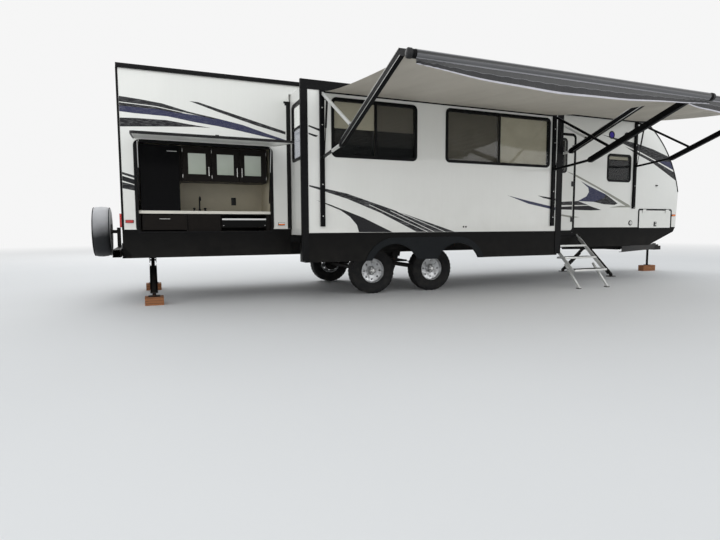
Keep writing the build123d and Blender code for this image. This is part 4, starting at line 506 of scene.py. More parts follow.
def glowing_blue():
    """The speakers' cones, lit blue through their woven cover."""
    f = Finish("glowing_blue", roughness=0.4, specular=0.2)
    weave = f.x.wave(190) * f.z.wave(190)
    f.set("Base Color", (0.02, 0.015, 0.09))
    f.set("Emission Color", f.mix(weave, (0.008, 0.004, 0.09), (0.06, 0.03, 0.42)))
    f.set("Emission Strength", 0.7)
    return f


# Finishes of metal


def brushed_steel():
    """Bright steel with brush lines."""
    f = Finish("brushed_steel", roughness=0.3, metallic=1.0)
    lines = f.noise(40, 3, (0.4, 12, 12))
    f.colour(lines, (0.5, 0.5, 0.49), (0.68, 0.68, 0.67))
    f.set("Roughness", 0.24 + lines * 0.14)
    f.bump(lines, 0.0002, 0.5)
    return f


def cooktop_metal():
    """Stainless tray with a black front panel under its bright lip."""
    f = Finish("cooktop_metal", roughness=0.3, metallic=1.0, specular=0.08)
    low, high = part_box("cooktop_tray")
    front = (f.y < (low[1] + 0.027)) * (f.z < (high[2] - 0.0225))
    lines = f.noise(40, 3, (0.4, 12, 12))
    bright = f.mix(lines, (0.56, 0.56, 0.55), (0.72, 0.72, 0.71))
    f.colour(front, bright, (0.004, 0.004, 0.004))
    f.set("Metallic", 1 - front)
    f.set("Roughness", 0.27 + lines * 0.12)
    return f


def plain_alloy():
    """Bare aluminium with extrusion lines and a dull haze."""
    f = Finish("plain_alloy", roughness=0.4, metallic=0.5)
    lines = f.noise(30, 3, (0.5, 9, 9))
    haze = f.sharpen(f.noise(7, 4), 0.45, 0.8) * 0.4
    f.colour(haze, (0.72, 0.72, 0.7), (0.5, 0.5, 0.48))
    f.set("Roughness", 0.32 + lines * 0.12 + haze * 0.3)
    f.bump(lines, 0.0003, 0.4)
    return f


def black_alloy():
    """Black coated awning arm with drawn lines."""
    f = Finish("black_alloy", roughness=0.36, specular=0.05)
    lines = f.noise(26, 3, (9, 9, 0.6))
    f.colour(lines * 0.5, (0.004, 0.004, 0.0045), (0.011, 0.011, 0.012))
    f.set("Roughness", 0.27 + lines * 0.12)
    return f


def wheel_silver():
    """Silver wheel with brake dust."""
    f = Finish("wheel_silver", roughness=0.35, metallic=0.8)
    dirt = f.sharpen(f.noise(16, 5), 0.45, 0.8) * 0.5
    f.colour(dirt, (0.5, 0.51, 0.52), (0.12, 0.1, 0.08))
    f.set("Roughness", 0.3 + dirt * 0.7)
    return f


# Finishes of cloth, vinyl and rubber


def awning_cloth():
    """Coated woven cloth with a fine weave, faint crosswise bands and creases, with painted shade along the
    creases.
    """
    f = Finish("awning_cloth", roughness=0.72)
    weave = (f.x.wave(420) + f.y.wave(420)) * 0.5
    bands = f.noise(1.1, 3, (2.6, 0.25, 0.25))
    crease_with_painted_shade = f.noise(2.2, 5, (3.2, 0.7, 0.7))
    base = paint("cloth")
    # painted shade: darker along the creases
    f.colour(crease_with_painted_shade * 0.25, f.mix(bands * 0.75, shade(base, 0.82), shade(base, 1.2)), shade(base, 0.7))
    f.set("Roughness", 0.62 + crease_with_painted_shade * 0.15)
    f.bump(crease_with_painted_shade * 0.9 + weave * 0.02, 0.006, 0.5)
    return f


def valance_cloth(name, colour, crush):
    """Coated cloth of the valance, crumpled the more, the higher crush is, with painted light and shade along
    its folds and creases.
    """
    f = Finish(name, roughness=0.42, specular=0.4)
    fold_with_painted_light = f.noise(3, 4, (4, 1, 1))
    creases = f.noise(26, 6, rough=0.7)
    # painted light and shade: the colour follows the folds and creases
    f.colour(fold_with_painted_light * 0.5 + creases * 0.5, shade(colour, 0.7), shade(colour, 1.3))
    f.set("Roughness", 0.36 + creases * 0.2)
    f.bump(creases * crush + fold_with_painted_light * 0.4, 0.012, 0.8)
    return f


def roller_wrap(name, colour):
    """One band of the smooth turn of cloth round the roller; its pale and dark copies are a painted highlight
    and painted shade.
    """
    f = Finish(name, roughness=0.3)
    lines = f.noise(3, 3, (0.3, 8, 8))
    f.colour(lines, shade(colour, 0.85), shade(colour, 1.2))
    f.bump(lines, 0.0008, 0.4)
    return f


def shade_cloth(name, colour, glow=0.0):
    """A pleated or rolled window shade, with painted shade along its pleats and a painted glow that stands in
    for daylight coming through it.
    """
    f = Finish(name, roughness=0.85)
    # painted light: the shade glows, standing in for daylight coming through it
    f.set("Emission Color", colour)
    f.set("Emission Strength", glow)
    pleat_with_painted_shade = f.z.wave(52)
    # painted shade: darker along each pleat
    f.colour(pleat_with_painted_shade * 0.25 + f.noise(30, 3) * 0.15, colour, shade(colour, 0.7))
    f.bump(pleat_with_painted_shade, 0.004, 0.5)
    return f


def cover_vinyl():
    """Grey leather-grained vinyl of the spare wheel's cover, with painted light: pale at its top, dark lower
    down.
    """
    f = Finish("cover_vinyl", roughness=0.4, specular=0.3)
    grain = f.noise(130, 3)
    sag = f.noise(6, 4)
    low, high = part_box("spare_wheel_cover")
    # painted light: pale towards the top and dark below, as if lit from the sky
    painted_sky_light = f.sharpen(f.z + sag * 0.12, low[2] + 0.36, high[2] + 0.02)
    f.colour(painted_sky_light, (0.014, 0.015, 0.017), (0.6, 0.6, 0.62))
    f.set("Roughness", 0.42 + grain * 0.15)
    f.bump(grain * 0.06 + sag, 0.008, 0.5)
    return f


def tyre_rubber():
    """Black rubber with road dust."""
    f = Finish("tyre_rubber", roughness=0.78, specular=0.25)
    dust = f.sharpen(f.noise(11, 6), 0.4, 0.8) * 0.35
    f.colour(dust, (0.01, 0.01, 0.011), (0.07, 0.065, 0.055))
    f.set("Roughness", 0.7 + dust * 0.4)
    f.bump(f.noise(380, 2), 0.0006, 0.5)
    return f


MAKERS = {
    "shell": gloss_shell,
    "door": lambda: with_black_parts("door_skin", door_mask),
    "baggage": lambda: with_black_parts("baggage_skin", baggage_mask),
    "lid": lambda: with_black_parts("lid_skin", lid_mask),
    "film_black": lambda: film("film_black", paint("film_black"), 0.1),
    "film_carbon": lambda: film("film_carbon", paint("film_black"), 0.1, 0.35),
    "film_navy": lambda: film("film_navy", paint("film_navy"), 0.3, 0.15),
    "film_grey": lambda: film("film_grey", paint("film_grey"), 0.2),
    "film_white": lambda: film("film_white", paint("shell"), specular=0.5),
    "skirt": black_moulding,
    "slide_skirt": slide_skirt,
    "trim": lambda: satin_trim("satin_trim", (0.005, 0.005, 0.0055), 0.42),
    "rubber": lambda: satin_trim("seal_rubber", (0.01, 0.01, 0.01), 0.65),
    "white_plastic": lambda: moulded("white_plastic", (0.7, 0.7, 0.67)),
    "black_plastic": lambda: moulded("black_plastic", (0.01, 0.01, 0.011)),
    "chassis": chassis_coat,
    "gloss_black": gloss_black,
    "plywood": plywood,
    "timber": rough_timber,
    "cabinet": cabinet_foil,
    "cabinet_front": lambda: handled_front("cabinet_front", "cabinet_door_a", 2.3, True),
    "drawer_front": lambda: handled_front("drawer_front", "kitchen_drawer", 2.6, False),
    "worktop": worktop,
    "lining": bay_lining,
    "glass": tinted_glass,
    "frosted": frosted_glass,
    "lens": lamp_lens,
    "blue_glow": glowing_blue,
    "steel": brushed_steel,
    "cooktop": cooktop_metal,
    "alloy": plain_alloy,
    "black_alloy": black_alloy,
    "wheel": wheel_silver,
    "cloth": awning_cloth,
    "valance": lambda: valance_cloth("valance_grey", (0.055, 0.055, 0.056), 0.35),
    # painted highlight: the seam's paler grey; the pale rows are partly piping and hem, partly a painted
    # highlight
    "valance_seam": lambda: valance_cloth("valance_seam", (0.2, 0.2, 0.21), 0.35),
    "valance_dark": lambda: valance_cloth("valance_charcoal", (0.016, 0.016, 0.018), 0.6),
    "valance_hem": lambda: valance_cloth("valance_hem", (0.5, 0.49, 0.53), 0.5),
    # painted light: the pale and dark greys of the roller are a painted highlight and painted shade
    "roller_pale": lambda: roller_wrap("roller_pale", (0.3, 0.3, 0.31)),
    "roller": lambda: roller_wrap("roller_grey", (0.1, 0.1, 0.105)),
    "roller_dark": lambda: roller_wrap("roller_dark", (0.02, 0.02, 0.021)),
    # painted light: the beige and brown shades glow a little
    "shade_beige": lambda: shade_cloth("shade_beige", (0.68, 0.64, 0.48), 0.2),
    "shade_brown": lambda: shade_cloth("shade_brown", (0.24, 0.22, 0.17), 0.08),
    # painted light: the pale sheet is a painted reflection of the sky, and it and the grey sheet glow
    # brightly
    "shade_pale": lambda: shade_cloth("shade_pale", (0.8, 0.82, 0.78), 1.1),
    "shade_grey": lambda: shade_cloth("shade_grey", (0.4, 0.42, 0.45), 1.1),
    # painted shade: a near-black sheet that darkens a window where the room behind it lies in shade
    "shade_dark": lambda: shade_cloth("shade_dark", (0.014, 0.015, 0.014)),
    "vinyl": cover_vinyl,
    "tyre": tyre_rubber,
}
LOOKS = {}


def look(key):
    """The material of one finish, made when it's first asked for."""
    if key not in LOOKS:
        LOOKS[key] = MAKERS[key]().material
    return LOOKS[key]


# Mesh building


def near(x, z, out=0.0):
    """A point on the near wall, x from the rear wall, out away from the body."""
    return Vector((REAR_X + x, NEAR_Y - out, z))


def room(x, z, out=0.0):
    """A point on the slide-out room's front wall."""
    return Vector((REAR_X + x, SLIDE_Y - out, z))


def far(x, z, out=0.0):
    """A point on the far wall."""
    return Vector((REAR_X + x, FAR_Y + out, z))


def round_points(centre, across, up, radius, sides, count=None):
    """Points round a circle; sides + 1 of them come back to the first."""
    points = []
    for index in range(count or sides):
        angle = 2 * math.pi * index / sides
        points.append(centre + across * (radius * math.cos(angle)) + up * (radius * math.sin(angle)))
    return points


class Shape:
    """A mesh under construction, in metres in the row's frame."""

    def __init__(self):
        self.mesh = bmesh.new()

    def prism(self, outline, push):
        """A closed slab from a flat outline and the vector to its other face."""
        bottom = [self.mesh.verts.new(p) for p in outline]
        top = [self.mesh.verts.new(p + push) for p in outline]
        self.mesh.faces.new(bottom)
        self.mesh.faces.new(top[::-1])
        for index in range(len(outline)):
            after = (index + 1) % len(outline)
            self.mesh.faces.new((bottom[index], top[index], top[after], bottom[after]))
        return self

    def slab(self, one, other, bevel=0.0, turn=None):
        """A box between two opposite corners, with rounded edges."""
        low = Vector([min(pair) for pair in zip(one, other)])
        high = Vector([max(pair) for pair in zip(one, other)])
        size = Matrix.Diagonal((*(high - low), 1))
        place = Matrix.Translation((low + high) / 2)
        if turn:
            place = place @ turn
        made = bmesh.ops.create_cube(self.mesh, size=1, matrix=place @ size)
        if bevel:
            edges = {edge for vert in made["verts"] for edge in vert.link_edges}
            bmesh.ops.bevel(
                self.mesh, geom=list(edges), offset=bevel, segments=2, affect="EDGES", profile=0.6
            )
        return self

    def beam(self, start, end, width, depth, bevel):
        """A bar from start to end, width along X."""
        along = end - start
        turn = Matrix.Rotation(math.atan2(along.z, along.y), 4, "X")
        half = Vector((width, along.length, depth)) / 2
        middle = (start + end) / 2
        return self.slab(middle - half, middle + half, bevel, turn)

    def ring(self, *circle):
        return [self.mesh.verts.new(point) for point in round_points(*circle)]

    def join(self, first, second):
        """Faces between two rings, or a fan where one is a single point."""
        count = max(len(first), len(second))
        for index in range(count):
            after = (index + 1) % count
            corners = [first[index % len(first)], first[after % len(first)]]
            corners += [second[after % len(second)], second[index % len(second)]]
            unique = list(dict.fromkeys(corners))
            if len(unique) > 2:
                self.mesh.faces.new(unique)

    def tube(self, path, radius, sides=10):
        """A round bar through the points of path, with closed ends."""
        rings = []
        across = None
        for index, point in enumerate(path):
            ahead = path[min(index + 1, len(path) - 1)] - path[max(index - 1, 0)]
            ahead.normalize()
            if across is None:
                across = ahead.orthogonal().normalized()
            across = (across - ahead * across.dot(ahead)).normalized()
            rings.append(self.ring(point, across, ahead.cross(across), radius, sides))
        for first, second in zip(rings, rings[1:]):
            self.join(first, second)
        self.mesh.faces.new(rings[0])
        self.mesh.faces.new(rings[-1])
        return self

    def lathe(self, centre, axis, profile, sides=48, closed=False, shape=None):
        """A turned form: profile holds (radius, distance along the axis)."""
        centre = Vector(centre)
        axis = Vector(axis).normalized()
        across = axis.orthogonal().normalized()
        up = axis.cross(across)
        rings = []
        for row, (radius, along) in enumerate(profile):
            middle = centre + axis * along
            if radius == 0:
                rings.append([self.mesh.verts.new(middle)])
                continue
            made = self.ring(middle, across, up, radius, sides)
            if shape:
                for index, vert in enumerate(made):
                    vert.co = middle + (vert.co - middle) * shape(row, index)
            rings.append(made)
        if closed:
            rings.append(rings[0])
        for first, second in zip(rings, rings[1:]):
            self.join(first, second)
        return self

    def cloth(self, rows):
        """A surface through rows of points."""
        made = [[self.mesh.verts.new(p) for p in row] for row in rows]
        for first, second in zip(made, made[1:]):
            for index in range(len(first) - 1):
                self.mesh.faces.new((first[index], first[index + 1], second[index + 1], second[index]))
        return self

    def into_mesh(self, name, materials):
        """The finished mesh, with its materials; the shape is used up."""
        made = bpy.data.meshes.new(name)
        self.mesh.to_mesh(made)
        self.mesh.free()
        for material in materials:
            made.materials.append(material)
        return made


def add_object(name, data):
    made = bpy.data.objects.new(name, data)
    bpy.context.scene.collection.objects.link(made)
    return made


def add_piece(name, shape, finish, body, smooth=True, finishes=()):
    """Makes the shape an object with its finish, riding on a body."""
    bmesh.ops.recalc_face_normals(shape.mesh, faces=shape.mesh.faces)
    mesh = shape.into_mesh(name, [look(key) for key in (finish, *finishes)])
    if smooth:
        mesh.shade_smooth()
        mesh.set_sharp_from_angle(angle=SHARP_ANGLE)
    piece = add_object(name, mesh)
    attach(piece, body)
    return piece


def surface(node, start, direction):
    """Where a line from start meets a CAD node."""
    met, place, *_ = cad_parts[node].ray_cast(Vector(start), Vector(direction))
    if not met:
        raise RuntimeError(node + " isn't where a detail needs it")
    return place


def clip(points, outline):
    """The part of a flat outline inside a convex one, both as (x, z), the convex one anticlockwise."""
    kept = list(points)
    for (ax, az), (bx, bz) in zip(outline, outline[1:] + outline[:1]):
        def inside(p):
            return (bx - ax) * (p[1] - az) - (bz - az) * (p[0] - ax)
        made = []
        for first, second in zip(kept, kept[1:] + kept[:1]):
            d0, d1 = inside(first), inside(second)
            if d0 >= 0:
                made.append(first)
            if (d0 < 0) != (d1 < 0):
                share = d0 / (d0 - d1)
                made.append(tuple(a + (b - a) * share for a, b in zip(first, second)))
        kept = made
    tidy = []
    for point in kept:
        if not tidy or math.dist(point, tidy[-1]) > 1e-4:
            tidy.append(point)
    return tidy if len(tidy) > 2 else []


def rectangle(x0, x1, z0, z1):
    return [(x0, z0), (x1, z0), (x1, z1), (x0, z1)]


# The nose: where its arc starts, passes and ends, as x from the rear wall and height,
# where its foot stands, and how high the walls' lower edge is
NOSE_START, NOSE_MIDDLE, NOSE_END = (9.37, 3.11), (9.985, 2.605), (10.41, 1.75)
NOSE_FOOT_X = 10.37
WALL_FOOT = 1.03
NOSE_STEPS = 24


def nose_outline(inset):
    """The side wall's outline from the rear wall round the nose, anticlockwise."""
    (ax, az), (bx, bz), (cx, cz) = NOSE_START, NOSE_MIDDLE, NOSE_END
    scale = 2 * (ax * (bz - cz) + bx * (cz - az) + cx * (az - bz))
    a2, b2, c2 = (x * x + z * z for x, z in (NOSE_START, NOSE_MIDDLE, NOSE_END))
    ox = (a2 * (bz - cz) + b2 * (cz - az) + c2 * (az - bz)) / scale
    oz = (a2 * (cx - bx) + b2 * (ax - cx) + c2 * (bx - ax)) / scale
    radius = math.dist((ox, oz), NOSE_START) - inset
    low = math.atan2(cz - oz, cx - ox)
    high = math.atan2(az - oz, ax - ox)
    angles = [low + (high - low) * step / NOSE_STEPS for step in range(NOSE_STEPS + 1)]
    arc = [(ox + radius * math.cos(angle), oz + radius * math.sin(angle)) for angle in angles]
    return [(inset, WALL_FOOT), (NOSE_FOOT_X - inset, WALL_FOOT), *arc, (inset, NOSE_START[1] - inset)]


# Stripes: finish and outline, as x from the rear wall and height

REAR_STRIPES = {
    "rear_navy": ("film_navy", [(0.01, 2.59), (0.48, 2.58), (0.85, 2.55), (1.23, 2.52), (1.56, 2.46),
        (1.91, 2.36), (2.17, 2.29), (2.17, 2.27), (1.86, 2.32), (1.56, 2.37), (1.23, 2.42), (0.94, 2.45),
        (0.6, 2.5), (0.18, 2.51), (0.01, 2.52)]),
    "rear_black_upper": ("film_carbon", [(0.01, 2.71), (0.26, 2.69), (0.53, 2.66), (0.86, 2.58),
        (1.23, 2.52), (1.17, 2.51), (0.85, 2.56), (0.45, 2.62), (0.01, 2.64)]),
    "rear_black_middle": ("film_carbon", [(0.01, 2.63), (0.45, 2.61), (0.79, 2.56), (0.72, 2.55),
        (0.48, 2.58), (0.01, 2.59)]),
    "rear_black_lower": ("film_carbon", [(0.01, 2.44), (0.22, 2.45), (0.58, 2.45), (0.84, 2.42),
        (1.13, 2.39), (0.94, 2.39), (0.59, 2.37), (0.02, 2.33)]),
    "rear_grey": ("film_carbon", [(0.87, 2.72), (0.98, 2.715), (2.16, 2.41), (2.16, 2.37), (1.75, 2.465),
        (1.27, 2.598), (0.98, 2.687)]),
    "rear_bar_upper": ("film_carbon", [(0.01, 1.77), (0.17, 1.72), (0.17, 1.69), (0.01, 1.74)]),
    "rear_bar_middle": ("film_black", [(0.01, 1.72), (0.17, 1.67), (0.17, 1.61), (0.01, 1.66)]),
    "rear_bar_lower": ("film_carbon", [(0.01, 1.64), (0.17, 1.6), (0.17, 1.53), (0.01, 1.56)]),
}
ROOM_STRIPES = {
    "room_band": ("film_carbon", [(2.3, 1.61), (2.83, 1.51), (3.49, 1.31), (4.04, 1.14), (4.57, 0.977),
        (3.92, 0.98), (3.34, 1.25), (2.83, 1.44), (2.3, 1.59)]),
    "room_fang": ("film_black", [(2.4, 1.41), (2.58, 1.36), (3.08, 1.18), (3.53, 0.977), (3.01, 0.98),
        (2.98, 1.08), (2.88, 1.19), (2.71, 1.3), (2.51, 1.38)]),
    "room_tail_upper": ("film_black", [(2.3, 2.39), (2.45, 2.35), (2.45, 2.32), (2.3, 2.37)]),
    "room_tail_lower": ("film_black", [(2.3, 2.29), (2.43, 2.26), (2.4, 2.24), (2.3, 2.27)]),
    "room_navy": ("film_navy", [(5.54, 1.54), (5.96, 1.46), (6.515, 1.365), (6.515, 1.32), (5.96, 1.415)]),
    "room_black": ("film_black", [(6.14, 1.55), (6.515, 1.51), (6.515, 1.475), (6.27, 1.51)]),
}
FRONT_STRIPES = {
    "front_top": ("film_carbon", [(8.23, 2.77), (8.73, 2.71), (9.15, 2.66), (9.63, 2.57), (10.11, 2.44),
        (10.4, 2.3), (10.26, 2.18), (9.71, 2.36), (9.21, 2.52), (8.91, 2.6), (8.56, 2.7)]),
    "front_top_navy": ("film_navy", [(9.77, 2.355), (10.17, 2.345), (10.45, 2.1), (10.25, 2.18)]),
    "front_low": ("film_carbon", [(8.86, 2.58), (9.22, 2.49), (9.71, 2.34), (10.27, 2.14), (10.45, 2.05),
        (10.45, 1.9), (10.34, 1.97), (9.98, 2.14), (9.59, 2.32), (9.19, 2.45)]),
    "front_grey": ("film_grey", [(7.4, 2.05), (7.64, 2.0), (8.33, 1.74), (9.01, 1.47), (9.07, 1.43),
        (8.94, 1.44), (8.16, 1.77), (7.59, 1.98)]),
    "front_grey_tail": ("film_grey", [(8.49, 1.41), (8.8, 1.45), (9.0, 1.44), (9.07, 1.42)]),
    "front_fin_navy": ("film_navy", [(7.75, 1.89), (7.94, 1.81), (8.39, 1.66), (8.35, 1.59), (8.09, 1.51),
        (7.69, 1.52), (7.9, 1.61), (7.96, 1.69), (7.94, 1.77)]),
    "front_fin_black": ("film_carbon", [(8.39, 1.66), (8.71, 1.49), (8.63, 1.46), (8.35, 1.47),
        (8.09, 1.51), (8.35, 1.59)]),
    "front_tail_upper": ("film_carbon", [(6.66, 1.515), (7.3, 1.5), (7.69, 1.52), (7.96, 1.45), (7.3, 1.44),
        (6.66, 1.475)]),
    "front_tail_middle": ("film_black", [(6.66, 1.37), (7.31, 1.41), (7.96, 1.44), (8.29, 1.36),
        (8.02, 1.35), (7.33, 1.36), (6.66, 1.32)]),
    "front_tail_lower": ("film_grey", [(6.95, 1.29), (7.32, 1.27), (7.75, 1.22), (7.54, 1.21),
        (7.32, 1.24)]),
}
ROOM_LINES = [
    ((3.16, 1.36), (4.09, 0.98)),
    ((3.49, 1.28), (4.2, 0.98)),
    ((3.6, 1.27), (4.39, 0.978)),
]
# Where the stripes may lie, clear of the roof's gutter, the corner angle and the lower edge
STRIPES_LOW, STRIPES_HIGH = 1.04, 3.05
STRIPES_REAR, STRIPES_FRONT = 0.026, 10.5
NEAR_PARTS = [
    rectangle(x0, x1, STRIPES_LOW, STRIPES_HIGH)
    for x0, x1 in ((STRIPES_REAR, 2.168), (6.64, 6.848), (7.612, STRIPES_FRONT))
]
DOOR_PARTS = [rectangle(6.92, 7.55, 1.0, 2.66)]
ROOM_PARTS = [rectangle(2.29, 6.518, 0.977, 2.84)]
FAR_PARTS = [
    rectangle(STRIPES_REAR, 0.67, STRIPES_LOW, STRIPES_HIGH),
    rectangle(1.48, 2.45, STRIPES_LOW, STRIPES_HIGH),
    rectangle(2.45, 8.25, STRIPES_LOW, 1.72),
    rectangle(8.25, 9.09, 2.52, STRIPES_HIGH),
    rectangle(9.09, STRIPES_FRONT, STRIPES_LOW, STRIPES_HIGH),
]
NEAR_PUSH = Vector((0, -FILM, 0))
LAYER_STEP = 0.2        # each film is that much thicker than the one before, so crossing ones don't coincide
NOSE_MARGIN = 0.012
DOOR_SKIN = 0.010       # from the outer face of the entry door's glass to the door's skin


def add_films(prefix, stripes, point, push, body, parts):
    """One film piece for each stripe, cut to the parts of the wall that it covers, each a little thicker."""
    for index, (name, (finish, points)) in enumerate(stripes.items()):
        layer = push * (1 + index * LAYER_STEP)
        outlines = [outline for outline in (clip(points, part) for part in parts) if outline]
        if outlines:
            shape = Shape()
            for outline in outlines:
                shape.prism([point(x, z) for x, z in outline], layer)
            add_piece(prefix + name, shape, finish, body, smooth=False)


def inside_nose(stripes):
    """The stripes, cut to the side wall's outline."""
    nose = nose_outline(NOSE_MARGIN)
    return {name: (finish, clip(points, nose)) for name, (finish, points) in stripes.items()}


def add_near_films():
    """The near wall's stripes, and the front ones once more on the entry door."""
    for stripes in (REAR_STRIPES, FRONT_STRIPES):
        add_films("film_", inside_nose(stripes), near, NEAR_PUSH, CARAVAN, NEAR_PARTS)
    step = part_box("entry_door_glass")[0][1] - DOOR_SKIN - NEAR_Y
    add_films("film_door_", FRONT_STRIPES, lambda x, z: near(x, z, -step), NEAR_PUSH, DOOR_LEAF, DOOR_PARTS)


def add_room_films():
    """The room's stripes, with thin white lines over them."""
    add_films("film_", ROOM_STRIPES, room, NEAR_PUSH, ROOM, ROOM_PARTS)
    shape = Shape()
    for (x0, z0), (x1, z1) in ROOM_LINES:
        outline = [(x0, z0), (x1, z1), (x1 + 0.02, z1), (x0 + 0.01, z0 + 0.004)]
        shape.prism([room(x, z, FILM) for x, z in outline], NEAR_PUSH)
    add_piece("film_room_lines", shape, "film_white", ROOM, smooth=False)


def add_far_films():
    """All the stripes on the far wall, between its windows."""
    for stripes in (REAR_STRIPES, ROOM_STRIPES, FRONT_STRIPES):
        add_films("film_far_", inside_nose(stripes), far, Vector((0, FILM, 0)), CARAVAN, FAR_PARTS)


class CARAVAN_OT_stripes(bpy.types.Operator):
    """Lay the stripes on both side walls, the entry door and the slide-out room"""

    bl_idname = "caravan.stripes"
    bl_label = "Stripes"

    def execute(self, context):
        add_near_films()
        add_room_films()
        add_far_films()
        return {"FINISHED"}


# Stage

CAMERA_PLACE = (REAR_X + 0.349, MID_Y - 8.35, 1.0425)
CAMERA_YAW = 0.392504
CAMERA_PITCH = 0.0841954
CAMERA_ROLL = -0.0041912
LENS = 25.056
SENSOR_WIDTH = 36
VIEW_END = 300
LIGHTS = (
    # name, place, aimed at, size, power
    ("key", (-9.0, -15.0, 11.0), (-1.0, 0.0, 1.6), 12.0, 700.0),
    ("fill", (9.0, -14.0, 6.0), (1.0, 0.5, 1.2), 10.0, 450.0),
    ("back", (-3.0, 15.0, 10.0), (0.0, 1.5, 1.5), 12.0, 650.0),
    ("side", (-17.0, -5.0, 4.0), (-2.0, 0.2, 1.6), 8.0, 260.0),
)
BACKDROP = {"Color": (1, 1, 1), "Strength": 0.92}
AMBIENT = {"Color": (0.93, 0.97, 1.0), "Strength": 0.74}
FLOOR_RINGS = (0, 20, 60, 120)
FLOOR_FADE = (11.0, 30.0)       # from this distance to that one the floor turns into the backdrop


def add_camera():
    """The camera at the photo's place, turned by yaw, pitch and roll in that order."""
    yaw, pitch, roll = CAMERA_YAW, CAMERA_PITCH, CAMERA_ROLL
    ahead = Vector((math.sin(yaw) * math.cos(pitch), math.cos(yaw) * math.cos(pitch), -math.sin(pitch)))
    right = Vector((math.cos(yaw), -math.sin(yaw), 0))
    up = right.cross(ahead)
    across = right * math.cos(roll) + up * math.sin(roll)
    upright = up * math.cos(roll) - right * math.sin(roll)
    data = bpy.data.cameras.new("photo_view")
    data.lens = LENS
    data.sensor_width = SENSOR_WIDTH
    data.sensor_fit = "HORIZONTAL"
    data.clip_end = VIEW_END
    camera = add_object("photo_view", data)
    turn = Matrix((across, upright, -ahead)).transposed().to_4x4()
    camera.matrix_world = Matrix.Translation(CAMERA_PLACE) @ turn
    bpy.context.scene.camera = camera


def add_lights():
    for name, place, target, size, power in LIGHTS:
        data = bpy.data.lights.new("light_" + name, "AREA")
        data.size = size
        data.energy = power
        lamp = add_object("light_" + name, data)
        lamp.location = place
        lamp.rotation_euler = (Vector(target) - Vector(place)).to_track_quat("-Z", "Y").to_euler()


def set_world():
    """Soft bluish light from all round, and a white backdrop for the rays that see it."""
    world = bpy.data.worlds.new("studio")
    bpy.context.scene.world = world
    nodes = Nodes(world)
    ambient = nodes.node("ShaderNodeBackground", {}, AMBIENT)
    backdrop = nodes.node("ShaderNodeBackground", {}, BACKDROP)
    sockets = {0: nodes.sees_backdrop(), 1: ambient.outputs[0], 2: backdrop.outputs[0]}
    mixed = nodes.node("ShaderNodeMixShader", {}, sockets)
    nodes.node("ShaderNodeOutputWorld", {}, {"Surface": mixed.outputs[0]})


def add_floor():
    """A pale round floor that fades into the backdrop far from the caravan."""
    f = Finish("studio_floor", roughness=0.9)
    f.colour(f.noise(0.4, 3), (0.74, 0.74, 0.74), (0.78, 0.78, 0.78))
    reach = f.sharpen((f.x * f.x + f.y * f.y).root(), *FLOOR_FADE)
    glow = f.node("ShaderNodeEmission", {}, BACKDROP)
    sockets = {0: reach * f.sees_backdrop(), 1: f.shader.outputs[0], 2: glow.outputs[0]}
    f.feed(f.output.inputs[0], f.node("ShaderNodeMixShader", {}, sockets).outputs[0])
    shape = Shape().lathe((0, 0, -0.001), (0, 0, 1), [(radius, 0) for radius in FLOOR_RINGS], 64)
    add_object("studio_floor", shape.into_mesh("studio_floor", [f.material]))


class CARAVAN_OT_stage(bpy.types.Operator):
    """Add the floor, the soft lights, the white world and the photo's camera"""

    bl_idname = "caravan.stage"
    bl_label = "Stage"

    def execute(self, context):
        context.scene.view_settings.view_transform = "Standard"
        add_camera()
        add_floor()
        add_lights()
        set_world()
        return {"FINISHED"}


# Finishes of the CAD pieces, by the starts of their names; the first that fits counts

NODE_LOOKS = (
    ("tyre", ("tyre_",)),
    ("wheel", ("rim_",)),
    ("chassis", ("chassis_", "tongue_", "rear_bumper", "axles", "leaf_springs", "stabiliser_")),
    ("plywood", ("floor_deck",)),
    ("shell", ("wall_near", "wall_far", "wall_rear", "front_cap", "roof_shell")),
    ("shell", ("slide_front_wall", "slide_shell")),
    ("skirt", ("skirt_panels",)),
    ("slide_skirt", ("slide_skirt",)),
    ("trim", ("wall_frames", "slide_flange", "slide_window_frames", "hatch_strut_tubes", "jack_leg")),
    ("glass", ("window_glass", "slide_window_glass", "entry_door_glass")),
    ("door", ("entry_door",)),
    ("baggage", ("baggage_door",)),
    ("lid", ("kitchen_hatch",)),
    ("lining", ("kitchen_bay",)),
    ("cabinet", ("kitchen_cabinets",)),
    ("cabinet_front", ("cabinet_door_",)),
    ("drawer_front", ("kitchen_drawer",)),
    ("worktop", ("kitchen_counter",)),
    ("gloss_black", ("fridge_door",)),
    ("cooktop", ("cooktop_tray",)),
    ("white_plastic", ("roof_units", "gas_bottle_cover")),
    ("lens", ("lamps",)),
    ("timber", ("support_blocks",)),
    ("cloth", ("awning_front_canopy", "awning_slide_canopy")),
    ("black_alloy", ("awning_",)),
    ("steel", ("hatch_strut_rods",)),
    ("alloy", ("entry_steps",)),
    ("vinyl", ("spare_wheel_cover",)),
)


class CARAVAN_OT_finishes(bpy.types.Operator):
    """Give every CAD piece its procedural finish"""

    bl_idname = "caravan.finishes"
    bl_label = "Finishes"

    def execute(self, context):
        for name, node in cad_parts.items():
            keys = [key for key, starts in NODE_LOOKS if name.startswith(starts)]
            if not keys:
                raise RuntimeError("no finish is listed for " + name)
            for slot in node.material_slots:
                slot.material = look(keys[0])
        return {"FINISHED"}


# Body trims

NOSE_TRIM = (-0.003, 0.022)     # its edges, inwards from the side wall's outline
NOSE_TRIM_THICK = 0.004
SEAL_TOP = 2.8


